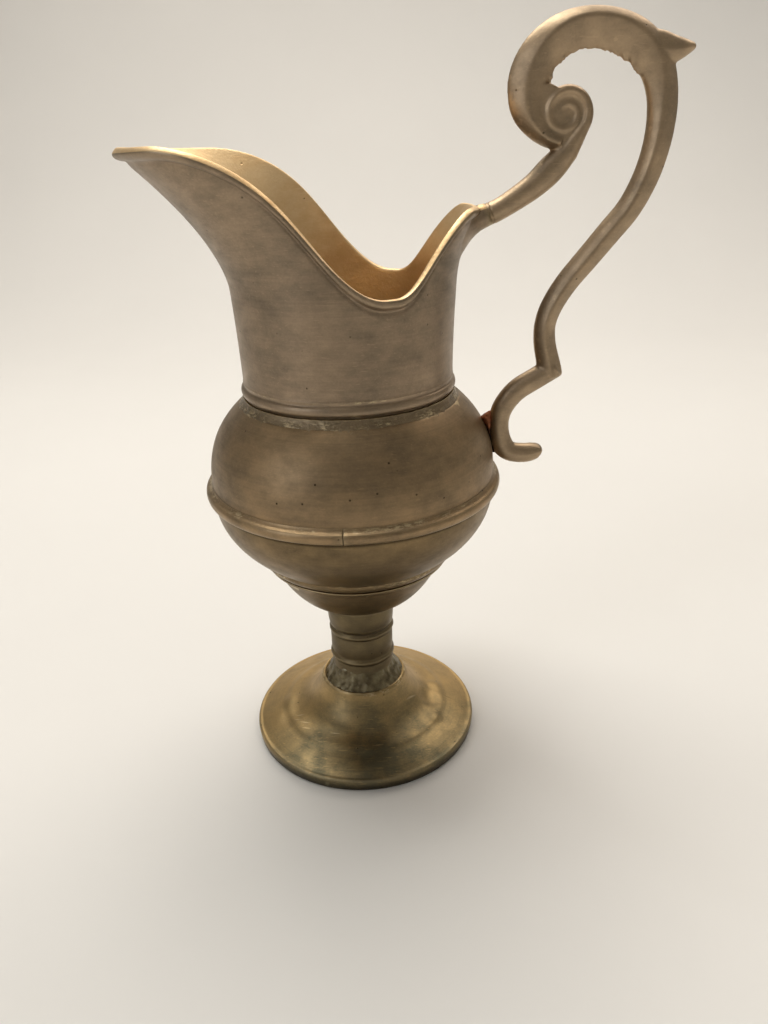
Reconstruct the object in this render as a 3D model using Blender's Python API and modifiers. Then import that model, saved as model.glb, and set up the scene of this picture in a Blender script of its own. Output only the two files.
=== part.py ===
"""Cast brass ewer: a helmet-shaped mouth on a round belly, a turned stem and a hollow foot.

The castings are turned, stacked and brazed: foot, stem, cup, bowl, shoulder and neck on one
upright axis, with a wire girdle over the belly's seam and a scrolled handle at the back.
Units are metres, +Z is up and the handle lies towards +X.
"""

import math

import bmesh
import bpy
from mathutils import Matrix, Vector

# Fits and walls
CLEARANCE = 0.0003          # left between pieces that touch
CAST_WALL = 0.0020          # foot, cup and belly
NECK_WALL = 0.0016
STEM_WALL = 0.0029

# Stem, and the rod through it
STEM_RADIUS = 0.0124
STEM_LENGTH = 0.0391
STEM_SWELL = 0.0004         # swelling under the cup
STEM_TAPER = 0.0006         # the stem's foot is this much thinner
RING_DEPTH = 0.0003         # grooves beside the stem's two rings
RING_PITCH = 0.0013
RING_PLACES = (0.32, 0.61)  # shares of the stem's length, from its top
ROD_RADIUS = 0.0040
ROD_ENTRY = 0.0012          # how far the rod reaches into the cup's floor
ROD_END = 0.0021            # how far it stands out of the nut
NUT_ACROSS_FLATS = 0.0130
NUT_HEIGHT = 0.0048
WASHER_RADIUS = 0.0090
WASHER_HEIGHT = 0.0015

# Foot
FOOT_RADIUS = 0.0445
FOOT_EDGE_HEIGHT = 0.0043
FOOT_EDGE_ROUND = 0.0006
FOOT_REST = 0.0022          # width of the flat ring that it stands on
FOOT_STEP_RADIUS = 0.0305   # where the brim meets the dome
FOOT_STEP_HEIGHT = 0.0092
FOOT_STEP_DROP = 0.0010
BRIM_CROWN = 0.0026         # pull of the brim's curve above the edge
DOME_HOLLOW = 0.0024        # pull of the dome's curve above the step
DOME_WAIST = 0.0030         # and out from the socket's lip
SOCKET_HEIGHT = 0.0226
SOCKET_DEPTH = 0.0046
SOCKET_FLOOR_WALL = 0.0025
SOCKET_LIP = 0.0024
SOLDER_GAP = 0.0024         # room for solder round the stem
SOLDER_RUN = 0.0092         # height of the solder's run
SOLDER_SLUMP = ((0.14, 1), (0.33, 0.65), (1, 0.38), (1, 0))  # shares of its thickness and height

# Cup and belly
CUP_RADIUS = 0.0325
CUP_HEIGHT = 0.0207
CUP_FLOOR = 0.0036
CUP_SEAT = 0.0008           # flat ring on the stem, beyond the stem's edge
CUP_FULLNESS = 0.6          # pull of the cup's curve, from the stem's edge towards the rim
SPIGOT_LENGTH = 0.0075
RIB = 0.0006                # ribs on the cup's and the bowl's edges
BOWL_HEIGHT = 0.0297
BOWL_RIB_HEIGHT = 0.0036
BOWL_FULLNESS = 1.02        # pull of the bowl's curve, over the belly's radius
BELLY_RADIUS = 0.0502
SHOULDER_HEIGHT = 0.0323
SHOULDER_PULL = 0.608       # height of the shoulder curve's pull, over the shoulder's height
SHOULDER_SIDE = 0.0040      # upright strip above the girdle
LIP_HEIGHT = 0.0026         # upright lip that the neck stands on
LIP_STEP = 0.0018           # ledge round the lip
GIRDLE_DEPTH = 0.0020
GIRDLE_HEIGHT = 0.0048
GIRDLE_SPLIT = 0.0005
GIRDLE_SPLIT_ANGLE = math.radians(-92)

# Neck and mouth, as heights above the neck's lower edge
NECK_RADIUS = 0.0357
NECK_SPREAD = 0.0011        # gained by the height where the mouth begins to flare
COLLAR_BEAD = 0.0007        # how far the bead stands out of the neck
COLLAR_HEIGHT = 0.0048
FLARE_START = 0.0347
RIM_DIP = 0.0347
RIM_SPOUT = 0.0757
RIM_BACK = 0.0571
SPOUT_FLARE = 0.0286
BACK_FLARE = 0.0064
FLARE_POWER = 1.6
RIM_BAND_HEIGHT = 0.0034
RIM_BAND_DEPTH = 0.0010
RIM_EDGE = 0.0005
SPOUT_FLAT = math.radians(37)       # half angle over which the spout's rim is level
DIP_ANGLE = math.radians(114)       # where the rim is lowest, counted from the spout
DIP_END = math.radians(119)         # and where it begins to rise again
BACK_FLAT = math.radians(162)       # where the rim is level again behind
FLARE_FULL = math.radians(12)       # half angle over which the mouth flares fully
FLARE_NONE = math.radians(98)       # angle beyond which it doesn't flare

# Handle
HANDLE_RADIUS = 0.0036      # half the limb's width
HANDLE_FLATNESS = 0.88      # its thickness over its width
HANDLE_SPAN = 0.0721        # the drawing's rise from its lower seat to the lug
HANDLE_LEAN = -0.0045       # and how far out that carries it
PAD_HEIGHT = 0.0158         # the lower seat, above the girdle's middle
LUG_LENGTH = 0.0049
LUG_ROOT = 0.0080           # length of lug trimmed off inside the neck's wall
LUG_SINK = 0.0010           # its start, inside the back of the rim
LUG_DROP = 0.0047           # and below the rim
LUG_RISE = math.radians(26)
BRAZE_THICKNESS = 0.0006
WEDGE_ROOT = 0.0005         # width at the braze wedge's lower edge
WEDGE_HEIGHT = 0.0036
WEDGE_THICKNESS = 0.0044
VOLUTE_RADIUS = 0.0062

# Facets
TURN_STEPS = 40
STEM_STEPS = 36
ROD_STEPS = 24
BAR_SIDES = 20
NECK_COLUMNS = 56
MERGE_DISTANCE = 0.00001
SHARP_ANGLE = math.radians(35)

# Sizes and places that follow from the ones above
SLOPE_CLEARANCE = 1.4 * CLEARANCE   # measured level, across a slanting face
LEDGE_CLEARANCE = 2.5 * CLEARANCE   # measured upright, above the sloping ledge round the lip
STEM_BORE = STEM_RADIUS - STEM_WALL
SOCKET_BORE = STEM_RADIUS + SOLDER_GAP
SOCKET_RADIUS = SOCKET_BORE + SOCKET_LIP
SOCKET_FLOOR = SOCKET_HEIGHT - SOCKET_DEPTH
SOCKET_UNDER = SOCKET_FLOOR - SOCKET_FLOOR_WALL
ROD_HOLE = ROD_RADIUS + CLEARANCE
STEM_BASE = SOCKET_FLOOR + CLEARANCE
STEM_TOP = STEM_BASE + STEM_LENGTH
CUP_BASE = STEM_TOP + CLEARANCE
BOWL_BASE = CUP_BASE + CUP_HEIGHT + CLEARANCE
GIRDLE_MIDDLE = BOWL_BASE + BOWL_HEIGHT
SHOULDER_BASE = GIRDLE_MIDDLE + CLEARANCE
SHOULDER_TOP = SHOULDER_BASE + SHOULDER_HEIGHT
NECK_BASE = SHOULDER_TOP + CLEARANCE
NECK_TOP_RADIUS = NECK_RADIUS + NECK_SPREAD
LIP_RADIUS = NECK_RADIUS - NECK_WALL + CAST_WALL
SEAT_HEIGHT = GIRDLE_MIDDLE + PAD_HEIGHT


def clear_scene():
    for old in list(bpy.data.objects):
        bpy.data.objects.remove(old)


def metal(name, colour, roughness):
    made = bpy.data.materials.new(name)
    made.use_nodes = True
    shader = made.node_tree.nodes["Principled BSDF"]
    shader.inputs["Base Color"].default_value = (*colour, 1.0)
    shader.inputs["Metallic"].default_value = 1.0
    shader.inputs["Roughness"].default_value = roughness
    return made


def collection_named(name):
    made = bpy.data.collections.new(name)
    bpy.context.scene.collection.children.link(made)
    return made


def add_part(name, data, finish):
    """A named sub-part under the ewer's empty."""
    part = bpy.data.objects.new(name, data)
    part.data.materials.append(finish)
    part.parent = ewer
    parts.objects.link(part)
    return part


def add_cutter(name, data):
    cutter = bpy.data.objects.new(name, data)
    cutter.parent = ewer
    cutter.hide_render = True
    cutter.display_type = "WIRE"
    cutters.objects.link(cutter)
    return cutter


def combine(part, other, operation):
    step = part.modifiers.new(other.name, "BOOLEAN")
    step.object = other
    step.operation = operation


def mesh_from(name, build):
    """A mesh that the function build fills in as a bmesh."""
    made = bpy.data.meshes.new(name)
    shape = bmesh.new()
    build(shape)
    bmesh.ops.recalc_face_normals(shape, faces=shape.faces)
    shape.to_mesh(made)
    shape.free()
    made.shade_smooth()
    made.set_sharp_from_angle(angle=SHARP_ANGLE)
    return made


def turned(name, outline, finish, steps=TURN_STEPS, closed=True):
    """A solid turned from (radius, height) points that run down its outer side."""
    count = len(outline)
    edges = [(i, i + 1) for i in range(count - 1)]
    if closed:
        edges.append((count - 1, 0))
    profile = bpy.data.meshes.new(name)
    profile.from_pydata([(radius, 0, height) for radius, height in outline], edges, [])
    part = add_part(name, profile, finish)
    spin = part.modifiers.new("turn", "SCREW")
    spin.steps = spin.render_steps = steps
    spin.use_merge_vertices = True
    spin.merge_threshold = MERGE_DISTANCE
    spin.use_smooth_shade = True
    return part


def bow(start, pull, end, count):
    """Points on a quadratic curve, both ends included."""
    points = []
    for i in range(count):
        t = i / (count - 1)
        a, b, c = (1 - t) ** 2, 2 * t * (1 - t), t * t
        points.append(tuple(a * s + b * p + c * e for s, p, e in zip(start, pull, end)))
    return points


def inset(outer, wall):
    """The outline a wall's thickness inside an outer one, level with it at both ends."""
    inner = []
    for i, (radius, height) in enumerate(outer):
        before, after = outer[max(i - 1, 0)], outer[min(i + 1, len(outer) - 1)]
        run, drop = after[0] - before[0], before[1] - after[1]
        length = math.hypot(run, drop)
        if 0 < i < len(outer) - 1:
            inner.append((radius - wall * drop / length, height - wall * run / length))
        else:
            inner.append((radius - wall * length / drop, height))
    return inner


def walled(outer, wall):
    """A closed outline: down the outer side and back up the inner one."""
    return outer + inset(outer, wall)[::-1]


def ease(angle, start, end):
    """1 before start, 0 after end, and a smooth half wave between them."""
    share = min(max((angle - start) / (end - start), 0), 1)
    return 0.5 + 0.5 * math.cos(math.pi * share)


def make_foot():
    """Hollow turned foot: a brim, a concave dome and a socket with a floor for the stem."""
    lip, edge = (SOCKET_RADIUS, SOCKET_HEIGHT), (FOOT_RADIUS, FOOT_EDGE_HEIGHT)
    step = (FOOT_STEP_RADIUS, FOOT_STEP_HEIGHT)
    dome = bow(lip, (SOCKET_RADIUS + DOME_WAIST, FOOT_STEP_HEIGHT + DOME_HOLLOW), step, 7)
    brim_start = (FOOT_STEP_RADIUS + FOOT_STEP_DROP, FOOT_STEP_HEIGHT - FOOT_STEP_DROP)
    brim_pull = ((brim_start[0] + edge[0]) / 2, edge[1] + BRIM_CROWN)
    brim = bow(brim_start, brim_pull, edge, 4)
    bottom = FOOT_RADIUS - FOOT_EDGE_ROUND
    rim = [(FOOT_RADIUS, FOOT_EDGE_ROUND), (bottom, 0), (bottom - FOOT_REST, 0)]
    clear_of_floor = SOCKET_UNDER - CAST_WALL / 2
    under = [point for point in inset(dome + brim, CAST_WALL)[::-1] if point[1] < clear_of_floor]
    floor = [(SOCKET_BORE, SOCKET_UNDER), (ROD_HOLE, SOCKET_UNDER)]
    seat = [(ROD_HOLE, SOCKET_FLOOR), (SOCKET_BORE, SOCKET_FLOOR), (SOCKET_BORE, SOCKET_HEIGHT)]
    turned("foot", dome + brim + rim + under + floor + seat, foot_brass)


def make_stem():
    """Tube with two turned rings between grooves and a swelling under the cup."""
    groove, ring = STEM_RADIUS - RING_DEPTH, STEM_RADIUS + RING_DEPTH / 2
    swelling = STEM_LENGTH / 8
    outer = [(STEM_RADIUS, STEM_TOP), (STEM_RADIUS + STEM_SWELL, STEM_TOP - swelling)]
    outer.append((STEM_RADIUS, STEM_TOP - 2 * swelling))
    for share in RING_PLACES:
        middle = STEM_TOP - share * STEM_LENGTH
        outer += [(groove, middle + RING_PITCH), (ring, middle), (groove, middle - RING_PITCH)]
    thin = STEM_RADIUS - STEM_TAPER
    outer += [(thin, STEM_BASE + SOLDER_RUN), (thin, STEM_BASE)]
    turned("stem", outer + [(STEM_BORE, STEM_BASE), (STEM_BORE, STEM_TOP)], stem_brass, steps=STEM_STEPS)


def make_stem_solder():
    """Soft solder run round the stem in the foot's socket."""
    inner, outer = STEM_RADIUS - STEM_TAPER + CLEARANCE, SOCKET_BORE - CLEARANCE
    low, high = STEM_BASE, SOCKET_FLOOR + SOLDER_RUN
    run = [(inner + out * (outer - inner), low + up * (high - low)) for out, up in SOLDER_SLUMP]
    turned("stem_solder", run + [(inner, low), (inner, high)], solder, steps=STEM_STEPS)


def make_rod_and_nut():
    """Threaded rod up the stem into the cup's spigot, drawn up by a nut under the foot's floor."""
    washer_top = SOCKET_UNDER - CLEARANCE
    washer_low = washer_top - WASHER_HEIGHT
    nut_low = washer_low - CLEARANCE - NUT_HEIGHT
    top, bottom = CUP_BASE + ROD_ENTRY, nut_low - ROD_END
    rod = [(0, top), (ROD_RADIUS, top), (ROD_RADIUS, bottom), (0, bottom)]
    turned("tie_rod", rod, steel, steps=ROD_STEPS, closed=False)
    ring = [(WASHER_RADIUS, washer_top), (WASHER_RADIUS, washer_low)]
    turned("foot_washer", ring + [(ROD_HOLE, washer_low), (ROD_HOLE, washer_top)], steel, steps=ROD_STEPS)

    def prism(sides, radius, height):
        return lambda shape: bmesh.ops.create_cone(
            shape, cap_ends=True, segments=sides, radius1=radius, radius2=radius, depth=height
        )

    corner = NUT_ACROSS_FLATS / math.sqrt(3)
    nut = add_part("foot_nut", mesh_from("foot_nut", prism(6, corner, NUT_HEIGHT)), steel)
    hole = add_cutter("nut_hole", mesh_from("nut_hole", prism(ROD_STEPS, ROD_HOLE, 2 * NUT_HEIGHT)))
    nut.location.z = hole.location.z = nut_low + NUT_HEIGHT / 2
    combine(nut, hole, "DIFFERENCE")


def make_cup():
    """Closed cup under the belly, with a rib at its top edge and a spigot that fits the stem."""
    top, floor = CUP_BASE + CUP_HEIGHT, CUP_BASE + CUP_FLOOR
    seat = (STEM_RADIUS + CUP_SEAT, CUP_BASE)
    pull = (seat[0] + CUP_FULLNESS * (CUP_RADIUS - seat[0]), CUP_BASE + CUP_FLOOR)
    side = bow((CUP_RADIUS - RIB, top - 3.5 * RIB), pull, seat, 8)
    outer = [(CUP_RADIUS, top), (CUP_RADIUS + RIB, top - 1.5 * RIB)] + side
    inner = [point for point in inset(outer, CAST_WALL)[::-1] if point[1] > floor]
    hole_end = CUP_BASE + ROD_ENTRY + CLEARANCE
    spigot, spigot_end = STEM_BORE - CLEARANCE, CUP_BASE - SPIGOT_LENGTH
    socket = [(spigot, CUP_BASE), (spigot, spigot_end), (ROD_HOLE, spigot_end), (ROD_HOLE, hole_end)]
    inside = [(0, floor), (inner[0][0] - CAST_WALL, floor)] + inner
    turned("bottom_cup", inside + outer + socket + [(0, hole_end)], belly_brass, closed=False)


def make_bowl():
    """Lower half of the belly, from the rib above the cup to the girdle."""
    side = (CUP_RADIUS + BOWL_RIB_HEIGHT, BOWL_BASE + BOWL_RIB_HEIGHT)
    pull = (BOWL_FULLNESS * BELLY_RADIUS, BOWL_BASE + BOWL_HEIGHT / 2)
    rib = [(CUP_RADIUS + 2 * RIB, BOWL_BASE + BOWL_RIB_HEIGHT / 2), (CUP_RADIUS + RIB, BOWL_BASE)]
    outer = bow((BELLY_RADIUS, GIRDLE_MIDDLE), pull, side, 9) + rib
    turned("lower_bowl", walled(outer, CAST_WALL), belly_brass)


def shoulder_curve(count):
    """The shoulder's outer side, from the ledge round the lip down to the upright strip."""
    start = (LIP_RADIUS + LIP_STEP, SHOULDER_TOP - LIP_HEIGHT)
    end = (BELLY_RADIUS, SHOULDER_BASE + SHOULDER_SIDE)
    return bow(start, (BELLY_RADIUS, SHOULDER_BASE + SHOULDER_PULL * SHOULDER_HEIGHT), end, count)


def belly_radius(height):
    """Outer radius of the shoulder at a height above the girdle."""
    return min(shoulder_curve(120), key=lambda point: abs(point[1] - height))[0]


def make_shoulder():
    """Upper half of the belly, ending in an upright lip that the neck stands on."""
    lip = [(LIP_RADIUS, SHOULDER_TOP), (LIP_RADIUS, SHOULDER_TOP - LIP_HEIGHT + CLEARANCE)]
    outer = lip + shoulder_curve(9) + [(BELLY_RADIUS, SHOULDER_BASE)]
    turned("shoulder", walled(outer, CAST_WALL), belly_brass)


def make_collar_seam():
    """Filed-back braze round the lip, between the neck's bead and the shoulder."""
    inner, outer = LIP_RADIUS + CLEARANCE, LIP_RADIUS + LIP_STEP - CLEARANCE
    high, low = NECK_BASE - CLEARANCE, SHOULDER_TOP - LIP_HEIGHT + LEDGE_CLEARANCE
    run = [((inner + outer) / 2, high), (outer, (low + 2 * high) / 3), (outer, low)]
    turned("collar_seam", run + [(inner, low), (inner, high)], braze)


def make_girdle():
    """Half-round wire bent round the belly's seam, its ends butted at the front."""
    inner, half = BELLY_RADIUS + CLEARANCE, GIRDLE_HEIGHT / 2
    arc = []
    for i in range(7):
        angle = math.pi / 2 - math.pi * i / 6
        arc.append((inner + GIRDLE_DEPTH * math.cos(angle), GIRDLE_MIDDLE + half * math.sin(angle)))
    ring = turned("girdle_ring", arc, girdle_brass)
    reach = inner + GIRDLE_DEPTH / 2
    slit = add_cutter("slit", mesh_from("slit", lambda shape: bmesh.ops.create_cube(shape, size=1)))
    slit.scale = (4 * GIRDLE_DEPTH, GIRDLE_SPLIT, 2 * GIRDLE_HEIGHT)
    slit.rotation_euler.z = GIRDLE_SPLIT_ANGLE
    slit.location = Matrix.Rotation(GIRDLE_SPLIT_ANGLE, 3, "Z") @ Vector((reach, 0, GIRDLE_MIDDLE))
    combine(ring, slit, "DIFFERENCE")


def rim_height(angle):
    """Height of the mouth's rim at an angle from the spout."""
    if angle < DIP_ANGLE:
        return NECK_BASE + RIM_DIP + (RIM_SPOUT - RIM_DIP) * ease(angle, SPOUT_FLAT, DIP_ANGLE)
    return NECK_BASE + RIM_BACK + (RIM_DIP - RIM_BACK) * ease(angle, DIP_END, BACK_FLAT)


def neck_radius(angle, height):
    """Outer radius of the neck, which flares to the spout and a little to the back."""
    rise = height - NECK_BASE
    plain = NECK_RADIUS + NECK_SPREAD * min(max(rise / FLARE_START, 0), 1) ** 2
    climb = max(rise - FLARE_START, 0)
    front = SPOUT_FLARE * (climb / (RIM_SPOUT - FLARE_START)) ** FLARE_POWER
    back = BACK_FLARE * (climb / (RIM_BACK - FLARE_START)) ** FLARE_POWER
    front *= ease(angle, FLARE_FULL, FLARE_NONE)
    return plain + front + back * ease(math.pi - angle, FLARE_FULL, FLARE_NONE)


def neck_section(angle):
    """(radius, height) points at an angle from the spout, up the outside and down the inside."""
    top = rim_height(angle)
    band, foot = top - RIM_BAND_HEIGHT, NECK_BASE + 1.5 * COLLAR_HEIGHT
    bead = [(0, 0.5), (0.2, 0.9), (0.5, 1), (0.8, 0.8), (0.96, 0.1)]
    levels = [(NECK_BASE + share * COLLAR_HEIGHT, proud * COLLAR_BEAD) for share, proud in bead]
    levels += [(foot + share * (band - foot), 0) for share in (0, 0.25, 0.5, 0.7, 0.86, 1)]
    levels += [(band + RIM_EDGE, RIM_BAND_DEPTH), (top - RIM_EDGE, RIM_BAND_DEPTH), (top, 0)]
    levels += [(top + (NECK_BASE - top) * i / 8, -NECK_WALL) for i in range(9)]
    return [(neck_radius(angle, height) + proud, height) for height, proud in levels]


def neck_shell(shape):
    """A loft through sections round the axis, closed both ways."""
    columns = []
    for i in range(NECK_COLUMNS):
        turn = 2 * math.pi * i / NECK_COLUMNS
        section = neck_section(abs(math.pi - turn))
        ways = math.cos(turn), math.sin(turn)
        columns.append([shape.verts.new((r * ways[0], r * ways[1], z)) for r, z in section])
    count = len(columns[0])
    for near, far in zip(columns, columns[1:] + columns[:1]):
        for j in range(count):
            k = (j + 1) % count
            shape.faces.new((near[j], far[j], far[k], near[k]))


def lug_frame():
    """The lug's outer end, and the unit direction in which it points."""
    way = Vector((math.cos(LUG_RISE), 0, math.sin(LUG_RISE)))
    back = NECK_TOP_RADIUS + BACK_FLARE - LUG_SINK
    return Vector((back, 0, NECK_BASE + RIM_BACK - LUG_DROP)) + LUG_LENGTH * way, way


def bar(shape, end, way, length, radius):
    """A round bar in a bmesh, whose far end lies at end and which points along way."""
    turn = way.to_track_quat("Z", "Y").to_matrix().to_4x4()
    place = Matrix.Translation(end - way * length / 2) @ turn
    bmesh.ops.create_cone(
        shape, cap_ends=True, segments=BAR_SIDES, radius1=radius, radius2=radius, depth=length, matrix=place
    )


def neck_lug(shape):
    """Short round lug, trimmed along the middle of the neck's back wall."""
    end, way = lug_frame()
    bar(shape, end, way, LUG_LENGTH + LUG_ROOT, HANDLE_RADIUS)
    height = end.z - LUG_LENGTH * way.z
    radius, higher = (neck_radius(math.pi, level) for level in (height, height + NECK_WALL))
    outward = Vector((NECK_WALL, 0, radius - higher))
    middle = Vector((radius - NECK_WALL / 2, 0, height))
    everything = shape.verts[:] + shape.edges[:] + shape.faces[:]
    bmesh.ops.bisect_plane(shape, geom=everything, plane_co=middle, plane_no=outward, clear_inner=True)
    bmesh.ops.holes_fill(shape, edges=shape.edges)


def make_neck():
    """Neck and helmet mouth in one casting, with the collar bead, rim band and handle lug."""
    neck = add_part("neck", mesh_from("neck", neck_shell), neck_brass)
    combine(neck, add_cutter("neck_lug", mesh_from("neck_lug", neck_lug)), "UNION")


def make_rim_braze():
    """Film of braze in the butt joint between the lug and the handle."""
    end, way = lug_frame()
    far = end + way * (CLEARANCE + BRAZE_THICKNESS)
    film = mesh_from("rim_braze", lambda shape: bar(shape, far, way, BRAZE_THICKNESS, HANDLE_RADIUS))
    add_part("rim_braze", film, braze)


# The handle as drawn, in millimetres out and up from its lower seat, with half its width.
DRAWN_HALF_WIDTH = 3.6
ARCH = [
    (16.2, 19.6, 3.8), (15.2, 25.5, 3.8), (14.2, 31, 3.6), (14.3, 37, 3.6), (16.4, 43, 3.7), (20.8, 50, 3.8),
    (27, 57.5, 3.9), (33.2, 65, 4), (38.8, 72, 4), (42.8, 80, 4.1), (44.9, 88, 4.2), (45.7, 96, 4.4),
    (44.8, 104, 4.7), (41.9, 111.3, 5.2), (36.8, 116.8, 5.4), (29.8, 120, 5.4), (21.8, 121.2, 5.2),
    (14.3, 119.6, 5.4), (8.5, 115.3, 5.7), (5.4, 109.5, 6), (4.9, 104, 5.7), (5.6, 100, 4.9),
    (8.6, 95.8, 3.8), (13.4, 91.8, 2.9), (18, 90, 2.3),
]
STALK = [
    (-4.5, 72.1, 3.6), (-0.5, 74.1, 3.5), (8, 78.9, 3.7), (14, 83.4, 3.6), (18.6, 89.6, 3.7),
    (21, 94.8, 3.4), (21.2, 99.6, 3), (18.8, 103.2, 2.8), (15.2, 103.6, 2.5), (13.2, 101.2, 2.2),
]
SCROLL = [
    (16.6, 21.6, 3.7), (11.2, 18.4, 3.8), (6, 14.9, 3.8), (2.3, 10.4, 3.7), (0.5, 6, 3.6), (0.1, 1, 3.6),
    (1.1, -3.6, 3.5), (4.2, -7.2, 3.4), (8.8, -8.4, 3.2), (12.8, -7.9, 2.6), (15.2, -7.1, 0.9),
]
LEAF = [(39, 115.8, 4.6), (42.5, 115.1, 5), (46, 114.6, 4.2), (49.4, 114.8, 2.8), (52.4, 115.5, 0.8)]
VOLUTE_EYE = (16.8, 98.8)


def smooth(points, count=3):
    """Points on the smooth curve through the given ones, count to a span."""
    result = []
    padded = [points[0], *points, points[-1]]
    for corners in zip(padded, padded[1:], padded[2:], padded[3:]):
        for i in range(count):
            t = i / count
            weights = (
                (-t + 2 * t**2 - t**3) / 2,
                (2 - 5 * t**2 + 3 * t**3) / 2,
                (t + 4 * t**2 - 3 * t**3) / 2,
                (t**3 - t**2) / 2,
            )
            result.append([sum(w * v for w, v in zip(weights, values)) for values in zip(*corners)])
    return result + [points[-1]]


def handle_head():
    """The middle of the handle's upper end, on the braze at the lug."""
    end, way = lug_frame()
    return end + way * (2 * CLEARANCE + BRAZE_THICKNESS)


def handle_foot():
    """How far out the lower seat lies, so that the whole scroll clears the belly."""
    head = handle_head()
    needed = []
    for out, up, half in smooth(SCROLL):
        share = up / 1000 / HANDLE_SPAN
        width = HANDLE_RADIUS * half / DRAWN_HALF_WIDTH
        belly = belly_radius(SEAT_HEIGHT + share * (head.z - SEAT_HEIGHT)) + CLEARANCE
        needed.append((belly + width - out / 1000 - share * (head.x - HANDLE_LEAN)) / (1 - share))
    return max(needed)


def handle_point(out, up):
    """A point of the drawing in metres, moved and stretched so that both ends meet their seats."""
    head = handle_head()
    share = up / 1000 / HANDLE_SPAN
    x = foot_reach + out / 1000 + share * (head.x - foot_reach - HANDLE_LEAN)
    return x, SEAT_HEIGHT + share * (head.z - SEAT_HEIGHT)


def swept(name, stations):
    """Mesh of an oval bar through (out, up, half width) stations of the handle's drawing."""
    line = bpy.data.curves.new(name, "CURVE")
    line.dimensions = "3D"
    line.bevel_depth = HANDLE_RADIUS
    line.bevel_resolution = 2
    line.use_fill_caps = True
    route = smooth(stations)
    spline = line.splines.new("POLY")
    spline.points.add(len(route) - 1)
    for point, (out, up, half) in zip(spline.points, route):
        x, z = handle_point(out, up)
        point.co = (x, 0, z, 1)
        point.radius = half / DRAWN_HALF_WIDTH
    guide = bpy.data.objects.new(name, line)
    cutters.objects.link(guide)
    bpy.context.view_layer.update()
    graph = bpy.context.evaluated_depsgraph_get()
    made = bpy.data.meshes.new_from_object(guide.evaluated_get(graph))
    bpy.data.objects.remove(guide)
    shape = bmesh.new()
    shape.from_mesh(made)
    bmesh.ops.remove_doubles(shape, verts=shape.verts, dist=MERGE_DISTANCE)
    bmesh.ops.scale(shape, vec=(1, HANDLE_FLATNESS, 1), verts=shape.verts)
    bmesh.ops.recalc_face_normals(shape, faces=shape.faces)
    shape.to_mesh(made)
    shape.free()
    made.shade_smooth()
    return made


def make_handle():
    """One casting: limb and arch, the stalk with its volute, the lower scroll and a leaf tip."""
    handle = add_part("handle", swept("handle", ARCH), handle_brass)
    for name, stations in (("stalk", STALK), ("scroll", SCROLL), ("leaf", LEAF)):
        combine(handle, add_cutter(name, swept(name, stations)), "UNION")
    x, z = handle_point(*VOLUTE_EYE)
    half = HANDLE_RADIUS * HANDLE_FLATNESS
    side = Vector((x, half, z))
    disc = mesh_from("volute", lambda shape: bar(shape, side, Vector((0, 1, 0)), 2 * half, VOLUTE_RADIUS))
    combine(handle, add_cutter("volute", disc), "UNION")


def wedge_sides(height):
    """How far out the braze reaches from and to, between the belly and the handle's inner edge."""
    share = (height - SEAT_HEIGHT) / (handle_head().z - SEAT_HEIGHT)
    inner_edge = handle_point(0, 1000 * HANDLE_SPAN * share)[0] - HANDLE_RADIUS
    return belly_radius(height) + SLOPE_CLEARANCE, inner_edge - CLEARANCE


def make_handle_braze():
    """Wedge of copper-red braze above the lower seat, where the handle leaves the belly."""
    low = SEAT_HEIGHT
    while wedge_sides(low)[1] - wedge_sides(low)[0] < WEDGE_ROOT:
        low += CLEARANCE
    high = low + WEDGE_HEIGHT
    corners = [(wedge_sides(low)[0], low), (wedge_sides(high)[0], high)]
    corners += [(wedge_sides(high)[1], high), (wedge_sides(low)[1], low)]
    line = bpy.data.curves.new("handle_braze", "CURVE")
    line.dimensions = "2D"
    line.fill_mode = "BOTH"
    line.extrude = WEDGE_THICKNESS / 2
    spline = line.splines.new("POLY")
    spline.points.add(len(corners) - 1)
    for point, (x, z) in zip(spline.points, corners):
        point.co = (x, z, 0, 1)
    spline.use_cyclic_u = True
    wedge = add_part("handle_braze", line, braze)
    wedge.rotation_euler.x = math.pi / 2


def stand_on_box_centre():
    """Moves the empty so that the whole ewer's box is centred over the origin."""
    bpy.context.view_layer.update()
    graph = bpy.context.evaluated_depsgraph_get()
    reach = []
    for part in parts.objects:
        if part.type == "EMPTY":
            continue
        whole = part.evaluated_get(graph)
        shape = whole.to_mesh()
        reach += [whole.matrix_world @ vertex.co for vertex in shape.vertices]
        whole.to_mesh_clear()
    for axis in (0, 1):
        line = [point[axis] for point in reach]
        ewer.location[axis] -= (min(line) + max(line)) / 2


clear_scene()
parts = collection_named("ewer")
cutters = collection_named("ewer_cutters")
ewer = bpy.data.objects.new("ewer_axis", None)
parts.objects.link(ewer)

neck_brass = metal("neck_brass", (0.48, 0.36, 0.19), 0.42)
belly_brass = metal("belly_brass", (0.45, 0.34, 0.18), 0.45)
girdle_brass = metal("girdle_brass", (0.50, 0.38, 0.20), 0.40)
foot_brass = metal("foot_brass", (0.55, 0.41, 0.20), 0.45)
stem_brass = metal("stem_brass", (0.34, 0.30, 0.20), 0.50)
handle_brass = metal("handle_brass", (0.52, 0.38, 0.19), 0.42)
braze = metal("braze", (0.42, 0.22, 0.10), 0.55)
solder = metal("solder", (0.42, 0.42, 0.38), 0.50)
steel = metal("steel", (0.40, 0.39, 0.37), 0.45)

make_foot()
make_stem()
make_stem_solder()
make_rod_and_nut()
make_cup()
make_bowl()
make_shoulder()
make_collar_seam()
make_girdle()
make_neck()
make_rim_braze()
foot_reach = handle_foot()
make_handle()
make_handle_braze()
stand_on_box_centre()
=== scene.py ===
"""Looks of a stemmed brass ewer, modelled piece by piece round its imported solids.

Lengths in the sections are in millimetres. The foot stands at z = 0, the spout points to -X.
"""

import math
import random

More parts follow.
